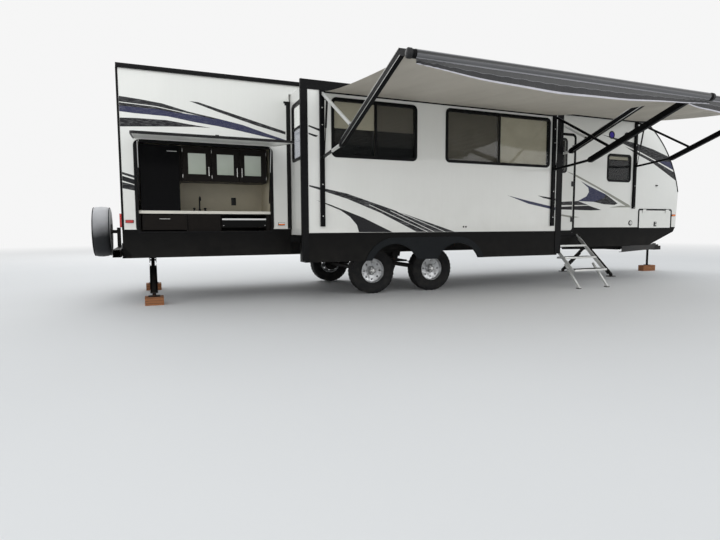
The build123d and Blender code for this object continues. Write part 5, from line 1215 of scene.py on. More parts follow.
class CARAVAN_OT_edge_trims(bpy.types.Operator):
    """Add the gutters, the corner angles, the nose edge trim and the slide-out's seal"""

    bl_idname = "caravan.edge_trims"
    bl_label = "Edge trims"

    def execute(self, context):
        gutter = sizes().gutter
        for side, wall, out in (("near", near, -1), ("far", far, 1)):
            shape = Shape()
            low = ROOF_Z - gutter
            shape.slab(wall(0.0, low, -0.012), wall(NOSE_START[0], ROOF_Z + 0.004, 0.02), 0.006)
            shape.slab(wall(0.0, low - 0.006, 0.01), wall(NOSE_START[0], low + 0.008, 0.03), 0.003)
            add_piece("gutter_" + side, shape, "trim", CARAVAN)
            shape = Shape()
            edge, inner = (nose_outline(inset)[2:-1] for inset in NOSE_TRIM)
            for (a, b), (c, d) in zip(zip(edge, edge[1:]), zip(inner, inner[1:])):
                shape.prism([wall(*p) for p in (a, b, d, c)], Vector((0, out * NOSE_TRIM_THICK, 0)))
            bmesh.ops.remove_doubles(shape.mesh, verts=shape.mesh.verts, dist=1e-5)
            add_piece("nose_trim_" + side, shape, "trim", CARAVAN, smooth=False)
            shape = Shape().slab(wall(-0.003, WALL_FOOT, -0.024), wall(0.024, low, 0.003), 0.0015)
            add_piece("corner_trim_" + side, shape, "trim", CARAVAN)
        x0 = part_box("slide_shell")[0][0] - 0.062
        x1 = min(x0 + 0.058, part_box("slide_front_wall")[0][0] - 0.006)
        shape = Shape()
        shape.slab((x0, NEAR_Y - 0.006, 1.032), (x1, NEAR_Y, SEAL_TOP + 0.01), 0.0025)
        shape.slab((x0 - 0.035, NEAR_Y - 0.008, SEAL_TOP), (x1, NEAR_Y, SEAL_TOP + 0.03), 0.003)
        shape.slab((x0 - 0.02, NEAR_Y - 0.007, SEAL_TOP - 0.025), (x1, NEAR_Y, SEAL_TOP + 0.002), 0.003)
        add_piece("room_seal", shape, "rubber", CARAVAN)
        return {"FINISHED"}


OUTWARD = (0, -1, 0)
INWARD = (0, 1, 0)
UPWARD = (0, 0, 1)


def slab_round(shape, centre, low, high, bevel):
    """A slab given by its corners' distances from a centre."""
    return shape.slab(centre + Vector(low), centre + Vector(high), bevel)


# Places of the fittings on their walls, as x from the rear wall and height
SPEAKERS = (("a", 8.49, 2.78), ("b", 8.89, 2.78))
POWER_INLET = (9.07, 1.115)
DOOR_HOLDBACK = (9.76, 1.86)
ROOM_DRAINS = ((4.728, 1.05), (4.772, 1.05))
BAGGAGE_LOCK_Z = 1.115
BAGGAGE_LOW, BAGGAGE_HIGH = 1.013, 1.367
SEAL_WIDE = 0.014


class CARAVAN_OT_wall_fittings(bpy.types.Operator):
    """Add the speakers, power inlet, door catch and room drains, and the baggage door's lock and seal"""

    bl_idname = "caravan.wall_fittings"
    bl_label = "Wall fittings"

    def execute(self, context):
        radius = sizes().speaker
        rim = [(radius + 0.008, 0), (radius + 0.008, 0.006), (radius, 0.013), (radius - 0.012, 0.011),
               (radius - 0.016, 0.002), (0, 0.002)]
        bowl = [(radius - 0.015, 0.004), (radius - 0.02, 0.008), (0.03, 0.0045), (0.018, 0.009), (0, 0.011)]
        for letter, x, z in SPEAKERS:
            for part, profile, finish in (("ring_", rim, "black_plastic"), ("cone_", bowl, "blue_glow")):
                shape = Shape().lathe(near(x, z), OUTWARD, profile, 40)
                add_piece("speaker_" + part + letter, shape, finish, CARAVAN)
        centre = near(*POWER_INLET)
        rim = [(0.05, 0), (0.05, 0.006), (0.045, 0.011), (0.038, 0.012), (0.036, 0.008), (0, 0.008)]
        add_piece("power_inlet_rim", Shape().lathe(centre, OUTWARD, rim, 36), "black_plastic", CARAVAN)
        dome = [(0.036, 0.008), (0.034, 0.014), (0.02, 0.0165), (0, 0.0165)]
        cap = Shape().lathe(centre, OUTWARD, dome, 36)
        slab_round(cap, centre, (-0.004, -0.022, -0.03), (0.004, -0.015, 0.03), 0.0015)
        add_piece("power_inlet_cap", cap, "white_plastic", CARAVAN)
        at = near(*DOOR_HOLDBACK)
        catch = slab_round(Shape(), at, (-0.028, -0.008, -0.013), (0.028, 0, 0.013), 0.003)
        slab_round(catch, at, (-0.016, -0.034, -0.008), (0.012, -0.006, 0.008), 0.003)
        add_piece("door_holdback", catch, "black_plastic", CARAVAN)
        drains = Shape()
        grommet = [(0.014, 0), (0.013, 0.004), (0.008, 0.005), (0.007, 0.001), (0, 0.001)]
        for x, z in ROOM_DRAINS:
            drains.lathe(room(x, z), OUTWARD, grommet, 20)
        add_piece("room_drains", drains, "black_plastic", ROOM)
        low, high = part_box("baggage_door")
        face = surface("baggage_door", ((low.x + high.x) / 2, NEAR_Y - 0.2, BAGGAGE_LOCK_Z), INWARD)
        lock = Shape().lathe(face, OUTWARD, [(0.013, 0), (0.0125, 0.003), (0.01, 0.004), (0, 0.004)], 24)
        slab_round(lock, face, (-0.022, -0.012, -0.05), (0.022, 0, -0.028), 0.003)
        add_piece("baggage_lock", lock, "steel", "baggage_door_leaf")
        seal = Shape()
        x0, x1 = low.x - 0.004, high.x + 0.004
        for left, right, foot, head in (
            (x0 - SEAL_WIDE, x1 + SEAL_WIDE, BAGGAGE_LOW - SEAL_WIDE, BAGGAGE_LOW),
            (x0 - SEAL_WIDE, x1 + SEAL_WIDE, BAGGAGE_HIGH, BAGGAGE_HIGH + SEAL_WIDE),
            (x0 - SEAL_WIDE, x0, BAGGAGE_LOW, BAGGAGE_HIGH),
            (x1, x1 + SEAL_WIDE, BAGGAGE_LOW, BAGGAGE_HIGH),
        ):
            seal.slab((left, NEAR_Y - 0.0035, foot), (right, NEAR_Y, head), 0.0012)
        add_piece("baggage_seal", seal, "rubber", CARAVAN)
        return {"FINISHED"}


# Windows

FRAME_EDGE = 0.045      # width of a window's frame
SHADE_DEPTH = 0.036     # from the wall's face to the shade
SHADE_THICK = 0.003
WINDOW_A, WINDOW_B = (2.615, 3.258), (3.282, 3.92)      # the room's rear window, left and right of its bar
WINDOW_C, WINDOW_D = (4.395, 5.353), (5.377, 6.37)      # the room's front window
FRONT_WINDOW = (8.4, 9.03)
UPPER_SHADE, LOWER_SHADE = (2.385, 2.735), (2.035, 2.383)
FULL_SHADE = (2.045, 2.745)
# painted light: in the small side window the pale sheet is a painted reflection of the sky, and both sheets
# glow
SIDE_SHADES = {         # in the small window in the room's rear side
    "upper": (2.42, 2.705, "shade_pale"),
    "lower": (2.005, 2.395, "shade_grey"),
}
DOOR_SHADE_X, DOOR_SHADE_Z = (7.085, 7.355), (2.065, 2.605)
REAR_SHADES_Y, REAR_SHADES_Z = ((-0.5, -0.02), (0.02, 0.5)), (1.9, 2.4)


def shade_panels():
    """Name, wall, x range, z range and finish of each shade that hangs along a side wall."""
    left = (WINDOW_A[0] + FRAME_EDGE, WINDOW_A[1])
    right = (WINDOW_B[0], WINDOW_B[1] - FRAME_EDGE)
    yield "shade_a_upper", "room", left, UPPER_SHADE, "shade_beige"
    yield "shade_b_upper", "room", right, UPPER_SHADE, "shade_brown"
    # painted shade: near-black sheets in the lower panes
    yield "shade_a_lower", "room", left, LOWER_SHADE, "shade_dark"
    yield "shade_b_lower", "room", right, LOWER_SHADE, "shade_dark"
    yield "shade_c", "room", (WINDOW_C[0] + FRAME_EDGE, WINDOW_C[1]), FULL_SHADE, "shade_brown"
    # painted reflection: the pale shade in this right pane stands in for a reflection on the glass
    yield "shade_d", "room", (WINDOW_D[0], WINDOW_D[1] - FRAME_EDGE), FULL_SHADE, "shade_beige"
    for name, wall, x0, x1, foot, split, head in (
        ("front", "near", *FRONT_WINDOW, 1.945, 2.31, 2.385),
        ("far_a", "far", 0.7, 1.45, 1.945, 2.2, 2.455),
        ("far_b", "far", 2.5, 4.1, 1.795, 2.2, 2.505),
        ("far_c", "far", 5.3, 6.3, 1.895, 2.2, 2.455),
        ("far_d", "far", 8.3, 9.05, 1.895, 2.2, 2.455),
    ):
        xs = (x0 + FRAME_EDGE, x1 - FRAME_EDGE)
        yield "shade_" + name + "_upper", wall, xs, (split, head), "shade_beige"
        # painted shade: a near-black sheet in each lower pane
        yield "shade_" + name + "_lower", wall, xs, (foot, split - 0.002), "shade_dark"


class CARAVAN_OT_window_insides(bpy.types.Operator):
    """Hang the shades behind the glass and add the sliding sashes' rails"""

    bl_idname = "caravan.window_insides"
    bl_label = "Window insides"

    def execute(self, context):
        walls = {"room": (room, ROOM), "near": (near, CARAVAN), "far": (far, CARAVAN)}
        for name, wall, (x0, x1), (z0, z1), finish in shade_panels():
            point, body = walls[wall]
            shape = Shape()
            shape.slab(point(x0, z0, -SHADE_DEPTH), point(x1, z1, -SHADE_DEPTH - SHADE_THICK), 0.001)
            shape.slab(
                point(x0, z0 - 0.001, 0.003 - SHADE_DEPTH), point(x1, z0 + 0.014, -0.008 - SHADE_DEPTH), 0.003
            )
            add_piece(name, shape, finish, body)
        side_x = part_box("slide_shell")[0][0]
        x = side_x + 0.02
        y0 = SLIDE_Y + 0.07 + FRAME_EDGE
        y1 = NEAR_Y - 0.09 - FRAME_EDGE
        for name, (z0, z1, finish) in SIDE_SHADES.items():
            shape = Shape().slab((x, y0, z0), (x + SHADE_THICK, y1, z1), 0.001)
            add_piece("shade_side_" + name, shape, finish, ROOM)
        rail_top = SIDE_SHADES["upper"][0]
        shape = Shape().slab((side_x - 0.002, y0 - 0.02, 2.39), (x, y1 + 0.02, rail_top), 0.002)
        add_piece("side_window_rail", shape, "trim", ROOM)
        shape = Shape()
        for z in (2.185, 2.305):
            left, right = FRONT_WINDOW[0] + 0.03, FRONT_WINDOW[1] - 0.03
            shape.slab(near(left, z, 0.002), near(right, z + 0.016, -0.02), 0.002)
        add_piece("front_window_rails", shape, "trim", CARAVAN)
        # painted shade: a near-black sheet behind the door's window
        low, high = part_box("entry_door_glass")
        y = (low[1] + high[1]) / 2 + 0.014
        x0, x1 = (REAR_X + x for x in DOOR_SHADE_X)
        shape = Shape().slab((x0, y, DOOR_SHADE_Z[0]), (x1, y + SHADE_THICK, DOOR_SHADE_Z[1]), 0.001)
        add_piece("door_window_shade", shape, "shade_dark", DOOR_LEAF)
        x = REAR_X + SHADE_DEPTH
        shape = Shape()
        z0, z1 = REAR_SHADES_Z
        for y0, y1 in REAR_SHADES_Y:
            shape.slab((x, MID_Y + y0, z0), (x + SHADE_THICK, MID_Y + y1, z1), 0.001)
        add_piece("rear_window_shade", shape, "shade_beige", CARAVAN)
        return {"FINISHED"}


# Outdoor kitchen


PANES = (("a", 0.835, 1.061), ("b", 1.207, 1.43), ("c", 1.577, 1.808))
PANE_LOW, PANE_HIGH = 1.772, 2.055
SINK_X = 1.0
BURNERS = (("a", 0.29), ("b", 0.71))    # shares of the tray's length
WIRE_RADIUS = 0.004
SOCKET_X, SOCKET_Z = (1.47, 1.54), (1.385, 1.5)
SOCKET_HOLES_Z = (1.418, 1.465)


def add_kitchen_tap(foot):
    """A black mixer tap on its plate, with a bent spout and two knobs."""
    base = [(0.03, 0), (0.03, 0.004), (0.017, 0.012), (0.015, 0.03), (0.013, 0.05)]
    knob = [(0.022, 0), (0.021, 0.012), (0.012, 0.02), (0.012, 0.034), (0.019, 0.04), (0.02, 0.054),
            (0.012, 0.06), (0, 0.06)]
    tap = Shape().lathe(foot, UPWARD, base, 28)
    spout = ((0, 0.03), (0, 0.12), (0, 0.17), (-0.012, 0.195), (-0.045, 0.212), (-0.09, 0.205), (-0.12, 0.18),
             (-0.125, 0.155))
    tap.tube([foot + Vector((0, y, z)) for y, z in spout], 0.011, 14)
    for dx in (-0.075, 0.075):
        tap.lathe(foot + Vector((dx, 0, 0)), UPWARD, knob, 24)
    slab_round(tap, foot, (-0.1, -0.026, 0), (0.1, 0.026, 0.007), 0.003)
    add_piece("kitchen_tap", tap, "black_plastic", CARAVAN)


def add_burner(name, centre):
    """A burner's cap with its pan support: four bent fingers and a wire ring."""
    cap = [(0.06, 0), (0.058, 0.004), (0.04, 0.006), (0.036, 0.016), (0.028, 0.019), (0, 0.019)]
    burner = Shape().lathe(centre, UPWARD, cap, 36)
    raised = centre + Vector((0, 0, 0.03))
    for turn in range(4):
        angle = math.pi / 4 + turn * math.pi / 2
        reach = Vector((math.cos(angle), math.sin(angle), 0))
        finger = [centre + reach * 0.105, raised + reach * 0.1, raised + reach * 0.035]
        burner.tube(finger, WIRE_RADIUS, 8)
    ring = round_points(raised, Vector((1, 0, 0)), Vector((0, 1, 0)), 0.1, 32, 33)
    burner.tube(ring, WIRE_RADIUS, 8)
    add_piece(name, burner, "black_plastic", "cooktop")


class CARAVAN_OT_kitchen(bpy.types.Operator):
    """Fit out the kitchen bay: door panes, tap, socket, drain, fridge handle, burners and cooktop pins"""

    bl_idname = "caravan.kitchen"
    bl_label = "Outdoor kitchen"

    def execute(self, context):
        for letter, x0, x1 in PANES:
            low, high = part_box("cabinet_door_" + letter)
            y = surface("cabinet_door_" + letter, ((low[0] + high[0]) / 2, low[1] - 0.3, 1.9), INWARD).y
            x0, x1 = REAR_X + x0 - 0.002, REAR_X + x1 + 0.002
            pane = Shape().slab((x0, y - 0.0035, PANE_LOW), (x1, y - 0.0002, PANE_HIGH), 0.0012)
            add_piece("pane_" + letter, pane, "frosted", "upper_door_" + letter)
        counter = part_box("kitchen_counter")[1][2]
        add_kitchen_tap(near(SINK_X, counter, -0.47))
        y = surface("kitchen_bay", near(1.4, 1.42, 0.3), INWARD).y
        x0, x1 = (REAR_X + x for x in SOCKET_X)
        socket = Shape().slab((x0, y - 0.007, SOCKET_Z[0]), (x1, y, SOCKET_Z[1]), 0.003)
        for z in SOCKET_HOLES_Z:
            socket.slab((x0 + 0.017, y - 0.01, z - 0.015), (x1 - 0.017, y - 0.006, z + 0.015), 0.003)
        add_piece("power_socket", socket, "black_plastic", CARAVAN)
        bowl = surface("kitchen_counter", near(SINK_X, counter + 0.1, -0.265), (0, 0, -1))
        rim = [(0.045, 0), (0.045, 0.003), (0.03, 0.002), (0.027, 0.0005), (0, 0.0005)]
        drain = Shape().lathe(bowl, UPWARD, rim, 32)
        drain.lathe(bowl, UPWARD, [(0.014, 0), (0.012, 0.012), (0.005, 0.016), (0, 0.016)], 20)
        add_piece("sink_drain", drain, "steel", CARAVAN)
        door = surface("fridge_door", near(0.63, 2.06, 0.3), INWARD)
        handle = Shape()
        for dx in (-0.05, 0.05):
            handle.tube([door + Vector((dx, 0, 0)), door + Vector((dx, -0.022, 0))], 0.004, 12)
        handle.tube([door + Vector((-0.062, -0.024, 0)), door + Vector((0.062, -0.024, 0))], 0.0055, 12)
        add_piece("fridge_handle", handle, "steel", "fridge_leaf")
        low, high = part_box("cooktop_tray")
        for letter, share in BURNERS:
            centre = Vector((low.x + (high.x - low.x) * share, (low.y + high.y) / 2, high.z - 0.06))
            add_burner("burner_" + letter, centre)
        pins = Shape()
        for x in (low[0] + 0.018, high[0] - 0.016):
            at = surface("cooktop_tray", (x, low[1] - 0.2, 1.08), INWARD)
            pins.lathe(at, OUTWARD, [(0.009, 0), (0.0085, 0.007), (0.005, 0.011), (0, 0.011)], 18)
        add_piece("cooktop_pins", pins, "steel", "cooktop")
        return {"FINISHED"}


# Awnings


AWNINGS = (
    # name, body, face of the wall, rise, ends from the rear wall
    ("slide", ROOM, SLIDE_Y, 0.0, (2.48, 6.44)),
    ("front", CARAVAN, NEAR_Y, 0.238, (6.73, 9.12)),
)
AWNING_POINTS = {
    # out from the wall's face, and height without the rise
    "pivot": (0.062, 1.975),
    "knee": (0.765, 2.04),
    "head": (2.31, 2.615),
    "roller": (2.48, 2.55),
    "strut_top": (0.052, 2.8),
    "strut_end": (1.06, 2.205),
    "track": (0.012, 2.838),
}
WRAP_RADIUS = 0.043     # the cloth's turn round the roller
WRAP_STEPS = 10
WRAP_ANGLE = math.radians(160)
CLOTH_EDGE = 0.045
CLOTH_STEPS = 26
COLUMN_WIDTH = 0.035
CLOTH_FINISHES = (
    "roller_pale", "roller", "roller_dark", "valance", "valance_seam", "valance_dark", "valance_hem",
)
# painted light: pale bands are painted highlights on the roller, dark ones painted shade
ROLLER_PAINTED_LIGHT = 3 * ("roller_pale",) + ("roller",) + 2 * ("roller_dark",) + 3 * ("roller",) + ("roller_pale",)
# valance rows from the roller down: a pale row, partly piping and partly a painted highlight, grey cloth, the
# seam in a paler grey that paints its highlight, charcoal cloth, and the pale hem with a painted sheen
VALANCE_BANDS = ("valance_hem", *3 * ("valance",), "valance_seam", *3 * ("valance_dark",), "valance_hem")
# ARM_EDGE reaches the arm's bright edge strips, which are painted highlights
ARM_EDGE, ARM_FACE = 0.0345, 0.0241     # from the arm's middle line to its bright edges, and to its side
LINK_WIDTH, LINK_DEPTH = 0.025, 0.0365
SPRING_RADIUS, ROD_RADIUS = 0.0135, 0.006
RAIL_OUT = 0.034
RAIL_SCREWS_Z = (1.2, 1.62, 2.4, 2.62)
CAP_OUT = 0.026
VALANCE_SHARES = (0.035, 0.14, 0.28, 0.42, 0.445, 0.58, 0.72, 0.86, 1.0)


def valance_drop(share):
    """How far the valance's hem hangs below the roller's middle at a share of the awning's length."""
    return 0.088 + 0.1 * math.sin(math.pi * share**0.85) ** 1.1


def cloth_section(face, rise, sag):
    """The canopy's line from the wall's track over the roller to its underside, as (y, z)."""
    out, start_z = AWNING_POINTS["track"]
    roller_out, roller_z = AWNING_POINTS["roller"]
    start_y, start_z = face - out, start_z + rise
    roller_y, roller_z = face - roller_out, roller_z + rise
    line = []
    for step in range(CLOTH_STEPS + 1):
        share = step / CLOTH_STEPS
        level = start_z + (roller_z + WRAP_RADIUS - start_z) * share
        line.append((start_y + (roller_y - start_y) * share, level - sag * 4 * share * (1 - share)))
    for step in range(1, WRAP_STEPS + 1):
        angle = math.pi / 2 + step * WRAP_ANGLE / WRAP_STEPS
        line.append((roller_y + WRAP_RADIUS * math.cos(angle), roller_z + WRAP_RADIUS * math.sin(angle)))
    return line


def ripple(share, row):
    """Small waves along the canopy, and how its ends stand a little lower than its middle."""
    waves = 0.0036 * math.sin(share * 37.0 + row * 0.19) + 0.0018 * math.sin(share * 91.0 - row * 0.33)
    return waves - 0.012 * (1 - math.sin(math.pi * share))


def cloth_rows(line, middle, x0, x1, columns):
    """Rows of points of the canopy and its valance, from the wall outwards."""
    places = [(column / columns, x0 + (x1 - x0) * column / columns) for column in range(columns + 1)]
    rows = []
    for index, (y, z) in enumerate(line):
        held = min(1.0, index / 6) if index < CLOTH_STEPS - 4 else 0.0
        rows.append([Vector((x, y, z + held * ripple(share, index))) for share, x in places])
    top_y, top_z = line[-1]
    for number, down in enumerate(VALANCE_SHARES, 1):
        row = []
        for share, x in places:
            length = valance_drop(share) - (middle - top_z)
            end = max(0.0, 1 - min(share, 1 - share) / 0.13)
            swing = 0.009 * math.sin(share * 26.0) * down + end * 0.008 * math.sin(share * 420 + number * 2.1)
            seam = 0.0035 * math.sin(share * 130) if number in (4, 5) else 0.0
            row.append(Vector((x, top_y - 0.004 - swing, top_z - length * down + seam)))
        rows.append(row)
    return rows


class CARAVAN_OT_awning_cloth(bpy.types.Operator):
    """Stretch both awnings' cloth from the wall to the roller, with its hanging valance"""

    bl_idname = "caravan.awning_cloth"
    bl_label = "Awning cloth"

    def execute(self, context):
        bands = CLOTH_STEPS * (0,)
        bands += tuple(1 + CLOTH_FINISHES.index(key) for key in ROLLER_PAINTED_LIGHT + VALANCE_BANDS)
        for name, body, face, rise, ends in AWNINGS:
            line = cloth_section(face, rise, sizes().cloth_sag)
            x0 = REAR_X + ends[0] + CLOTH_EDGE
            x1 = REAR_X + ends[1] - CLOTH_EDGE
            columns = round((x1 - x0) / COLUMN_WIDTH)
            shape = Shape().cloth(cloth_rows(line, AWNING_POINTS["roller"][1] + rise, x0, x1, columns))
            for index, polygon in enumerate(shape.mesh.faces):
                polygon.material_index = bands[index // columns]
            canopy = add_piece("canopy_" + name, shape, "cloth", body, finishes=CLOTH_FINISHES)
            length = sum(math.dist(a, b) for a, b in zip(line, line[1:])) + valance_drop(0.45) - 0.04
            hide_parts("awning_" + name + "_canopy")
            x1 - x0
            "awning_" + name + "_frame"
        return {"FINISHED"}


def add_arm_metal(shapes, x, side, points, rail_y, rise):
    """The bright links, bright strips of painted highlight along the arm's edges, gas spring, screws and rail
    lips at one end of an awning.
    """
    bright, edges, dark = shapes
    pivot, knee, head, top, tip = (
        Vector((x, *points[key])) for key in ("pivot", "knee", "head", "strut_top", "strut_end")
    )
    if side < 0:
        bright.beam(top, tip, LINK_WIDTH, LINK_DEPTH, 0.003)
        bright.beam(pivot.lerp(knee, 0.5), knee, LINK_WIDTH, LINK_DEPTH, 0.003)
    along = (head - knee).normalized()
    across = Vector((0, -along.z, along.y))
    # painted highlight: thin bright strips along both edges of the arm's outer face
    for lift in (-ARM_EDGE, ARM_EDGE):
        shift = across * lift + Vector((side * ARM_FACE, 0, 0))
        edges.beam(knee + along * 0.05 + shift, head + shift, 0.002, 0.0075, 0.0006)
    low = Vector((x + 0.024, pivot.y + 0.02, pivot.z + 0.02))
    high = Vector((x + 0.024, top.y - 0.11, top.z - 0.1))
    middle = high.lerp(low, 0.5)
    dark.tube([high, middle], SPRING_RADIUS, 16)
    dark.tube([middle, low], ROD_RADIUS, 10)
    for end in (low, high):
        eye = [(0.011, 0), (0.013, 0.004), (0.013, 0.034), (0.009, 0.038), (0, 0.038)]
        dark.lathe(end - Vector((0.03, 0, 0)), (1, 0, 0), eye, 16)
    for z in RAIL_SCREWS_Z:
        screw = [(0.0085, 0), (0.008, 0.003), (0.004, 0.0045), (0, 0.0045)]
        edges.lathe((x, rail_y, z + rise * 0.9), OUTWARD, screw, 12)
    for place, radius, half in ((pivot, 0.014, 0.0148), (knee, 0.024, 0.0238), (top, 0.014, 0.0148),
                                (tip, 0.014, 0.0122)):
        pin = [(radius, 0), (radius, 0.005), (radius * 0.6, 0.008), (0, 0.008)]
        for way in (-1, 1):
            dark.lathe(place + Vector((way * half, 0, 0)), (way, 0, 0), pin, 20)
    for inset in (-0.022, 0.022):
        dark.slab((x + inset - 0.003, rail_y - 0.004, pivot.z - 0.6),
                  (x + inset + 0.003, rail_y + 0.002, top.z - 0.05), 0.001)


class CARAVAN_OT_awning_metal(bpy.types.Operator):
    """Add the awnings' bright links, strips of painted highlight along the arm edges, gas springs, screws and
    end caps
    """

    bl_idname = "caravan.awning_metal"
    bl_label = "Awning metal"

    def execute(self, context):
        cap = [(0.043, -0.03), (0.046, -0.028), (0.046, 0.004), (0.036, 0.012), (0, 0.014)]
        for name, body, face, rise, ends in AWNINGS:
            points = {key: (face - out, z + rise) for key, (out, z) in AWNING_POINTS.items()}
            bright, edges, dark, caps = Shape(), Shape(), Shape(), Shape()
            for x, side in ((REAR_X + ends[0], -1), (REAR_X + ends[1], 1)):
                add_arm_metal((bright, edges, dark), x, side, points, face - RAIL_OUT, rise)
                caps.lathe((x + side * CAP_OUT, *points["roller"]), (side, 0, 0), cap, 32)
            add_piece("awning_links_" + name, bright, "alloy", body)
            add_piece("awning_bright_edges_" + name, edges, "steel", body)
            add_piece("awning_springs_" + name, dark, "trim", body)
            add_piece("awning_end_caps_" + name, caps, "black_plastic", body)
        return {"FINISHED"}


# Wheels and the spare wheel's cover


CAD_TYRE_RADIUS = 0.36  # the tyre that the side wall's profile was drawn for
TREAD_SIDES = 144
NUTS = 6
NUT_CIRCLE = 0.05
COVER_SIDES = 96
COVER_PROFILE = (
    # shares of the radius and of half the width
    (0, -0.82), (0.3, -0.84), (0.62, -0.9), (0.82, -0.97), (0.91, -0.95), (0.965, -0.8), (0.99, -0.5),
    (1, 0), (0.985, 0.5), (0.96, 0.8), (0.9, 0.97), (0.6, 0.99), (0.5, 0.9), (0, 0.88),
)


def tyre_shape(low, high, depth):
    """A road tyre with four rings of grooves and cut shoulders."""
    half = (high[1] - low[1]) / 2
    outer = (high[2] - low[2]) / 2
    side = [(0.193, 0.7), (0.2, 0.84), (0.225, 0.95), (0.262, 0.995), (0.3, 0.985), (0.327, 0.94),
            (0.344, 0.885)]
    tread = [(0.0, 0.835), (0.0, 0.52), (depth, 0.5), (depth, 0.44), (0.0, 0.42), (0.0, 0.2), (depth, 0.18),
             (depth, 0.1), (0.0, 0.08)]
    flank = [(radius / CAD_TYRE_RADIUS * outer, share * half) for radius, share in side]
    flank += [(outer - drop, share * half) for drop, share in tread]
    profile = [(radius, -along) for radius, along in flank] + flank[::-1]
    first = len(side)
    last = len(profile) - len(side) - 1
    cut = 1 - depth / outer

    def shape(row, index):
        """Notches in the tread's edges and between its outer grooves."""
        if row in (first - 1, first, last, last + 1):
            return cut if index % 4 == 0 else 1.0
        if row in (first + 1, last - 1):
            return cut if index % 4 == 0 and index % 8 else 1.0
        return 1.0

    return Shape().lathe((low + high) / 2, (0, 1, 0), profile, TREAD_SIDES, closed=True, shape=shape)


class CARAVAN_OT_wheels(bpy.types.Operator):
    """Model the tyres with their tread, and add the wheel nuts and centre caps"""

    bl_idname = "caravan.wheels"
    bl_label = "Wheels"

    def execute(self, context):
        for wheel in ("rear_near", "rear_far", "front_near", "front_far"):
            body = "wheel_" + wheel
            low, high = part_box("tyre_" + wheel)
            tyre = add_piece("road_tyre_" + wheel, tyre_shape(low, high, sizes().tread_depth), "tyre", body)
            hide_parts("tyre_" + wheel)
            out = -1 if wheel.endswith("near") else 1
            centre = (low + high) / 2
            centre.y = surface("rim_" + wheel, centre + Vector((0.045, out * 0.5, 0)), (0, -out, 0)).y
            nuts = Shape()
            for at in round_points(centre, Vector((1, 0, 0)), Vector((0, 0, 1)), NUT_CIRCLE, NUTS):
                nuts.lathe(at, (0, out, 0), [(0.0115, 0), (0.0115, 0.012), (0.008, 0.018), (0, 0.019)], 6)
            cap = [(0.033, -0.004), (0.032, 0.02), (0.025, 0.028), (0, 0.03)]
            nuts.lathe(centre, (0, out, 0), cap, 32)
            add_piece("wheel_nuts_" + wheel, nuts, "steel", body)
        return {"FINISHED"}


class CARAVAN_OT_spare_cover(bpy.types.Operator):
    """Model the spare wheel's soft vinyl cover with its piped seams"""

    bl_idname = "caravan.spare_cover"
    bl_label = "Spare wheel cover"

    def execute(self, context):
        low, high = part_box("spare_wheel_cover")
        centre = (low + high) / 2
        half = (high.x - low.x) / 2
        radius = (high.z - low.z) / 2

        def pull(row, index):
            """How far the slack vinyl is pulled in at a point of the profile and round the cover."""
            angle = 2 * math.pi * index / COVER_SIDES
            return 1 - 0.006 * (1 + math.sin(angle * 11 + row)) * (1 if 5 < row < 11 else 0.5)

        profile = [(radius * out, half * along) for out, along in COVER_PROFILE]
        cover = Shape().lathe(centre, (1, 0, 0), profile, COVER_SIDES, shape=pull)
        made = add_piece("vinyl_wheel_cover", cover, "vinyl", CARAVAN)
        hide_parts("spare_wheel_cover")
        piping = Shape()
        for share, along in ((0.955, -0.86), (0.95, 0.86)):
            middle = centre + Vector((half * along, 0, 0))
            ring = round_points(middle, Vector((0, 1, 0)), Vector((0, 0, 1)), radius * share, 72, 73)
            piping.tube(ring, 0.0055, 8)
        add_piece("wheel_cover_piping", piping, "trim", CARAVAN)
        return {"FINISHED"}


# Steps, roof, lamps and legs

STEP_ENDS = (6.92, 7.65)
TREADS = ((0.176, 0.717), (0.411, 0.517), (0.646, 0.317))   # out from the wall, and height
STEP_FEET_OUT = 0.786
COOLER_X = 4.8
ROOF_VENTS = ((1.3, 0.3), (6.4, -0.3), (8.5, 0.0))
ROOF_SEAMS = (2.4, 4.1, 5.9, 7.7)
NEAR_MARKERS = ((0.09, 1.135), (2.08, 1.1), (10.3, 1.27))
FAR_MARKERS = (NEAR_MARKERS[0], NEAR_MARKERS[2])
CHANNEL_WIDTH, CHANNEL_DEPTH, CHANNEL_SHEET = 0.1, 0.03, 0.005
CHANNEL_OUT = 0.0262    # from a leg's middle line to its channel's back

class CARAVAN_OT_steps(bpy.types.Operator):
    """Lay grip strips and bright nosings on the treads, and add rubber feet to the steps"""

    bl_idname = "caravan.steps"
    bl_label = "Entry steps"

    def execute(self, context):
        x0, x1 = (REAR_X + end for end in STEP_ENDS)
        grip, nose, feet = Shape(), Shape(), Shape()
        for out, z in TREADS:
            y = NEAR_Y - out
            grip.slab((x0 + 0.02, y - 0.07, z), (x1 - 0.02, y + 0.088, z + 0.0022), 0.0008)
            for rib in range(7):
                rib_y = y - 0.062 + rib * 0.023
                grip.slab((x0 + 0.026, rib_y, z + 0.002), (x1 - 0.026, rib_y + 0.008, z + 0.0042), 0.001)
            nose.slab((x0 + 0.009, y - 0.0962, z - 0.026), (x1 - 0.009, y - 0.074, z + 0.003), 0.003)
        for x in (x0 + 0.045, x1 - 0.045):
            at = Vector((x, NEAR_Y - STEP_FEET_OUT, 0))
            slab_round(feet, at, (-0.027, -0.037, 0.001), (0.027, 0.037, 0.014), 0.003)
        add_piece("step_grips", grip, "rubber", "steps")
        add_piece("step_nosings", nose, "alloy", "steps")
        add_piece("step_feet", feet, "rubber", "steps")
        return {"FINISHED"}


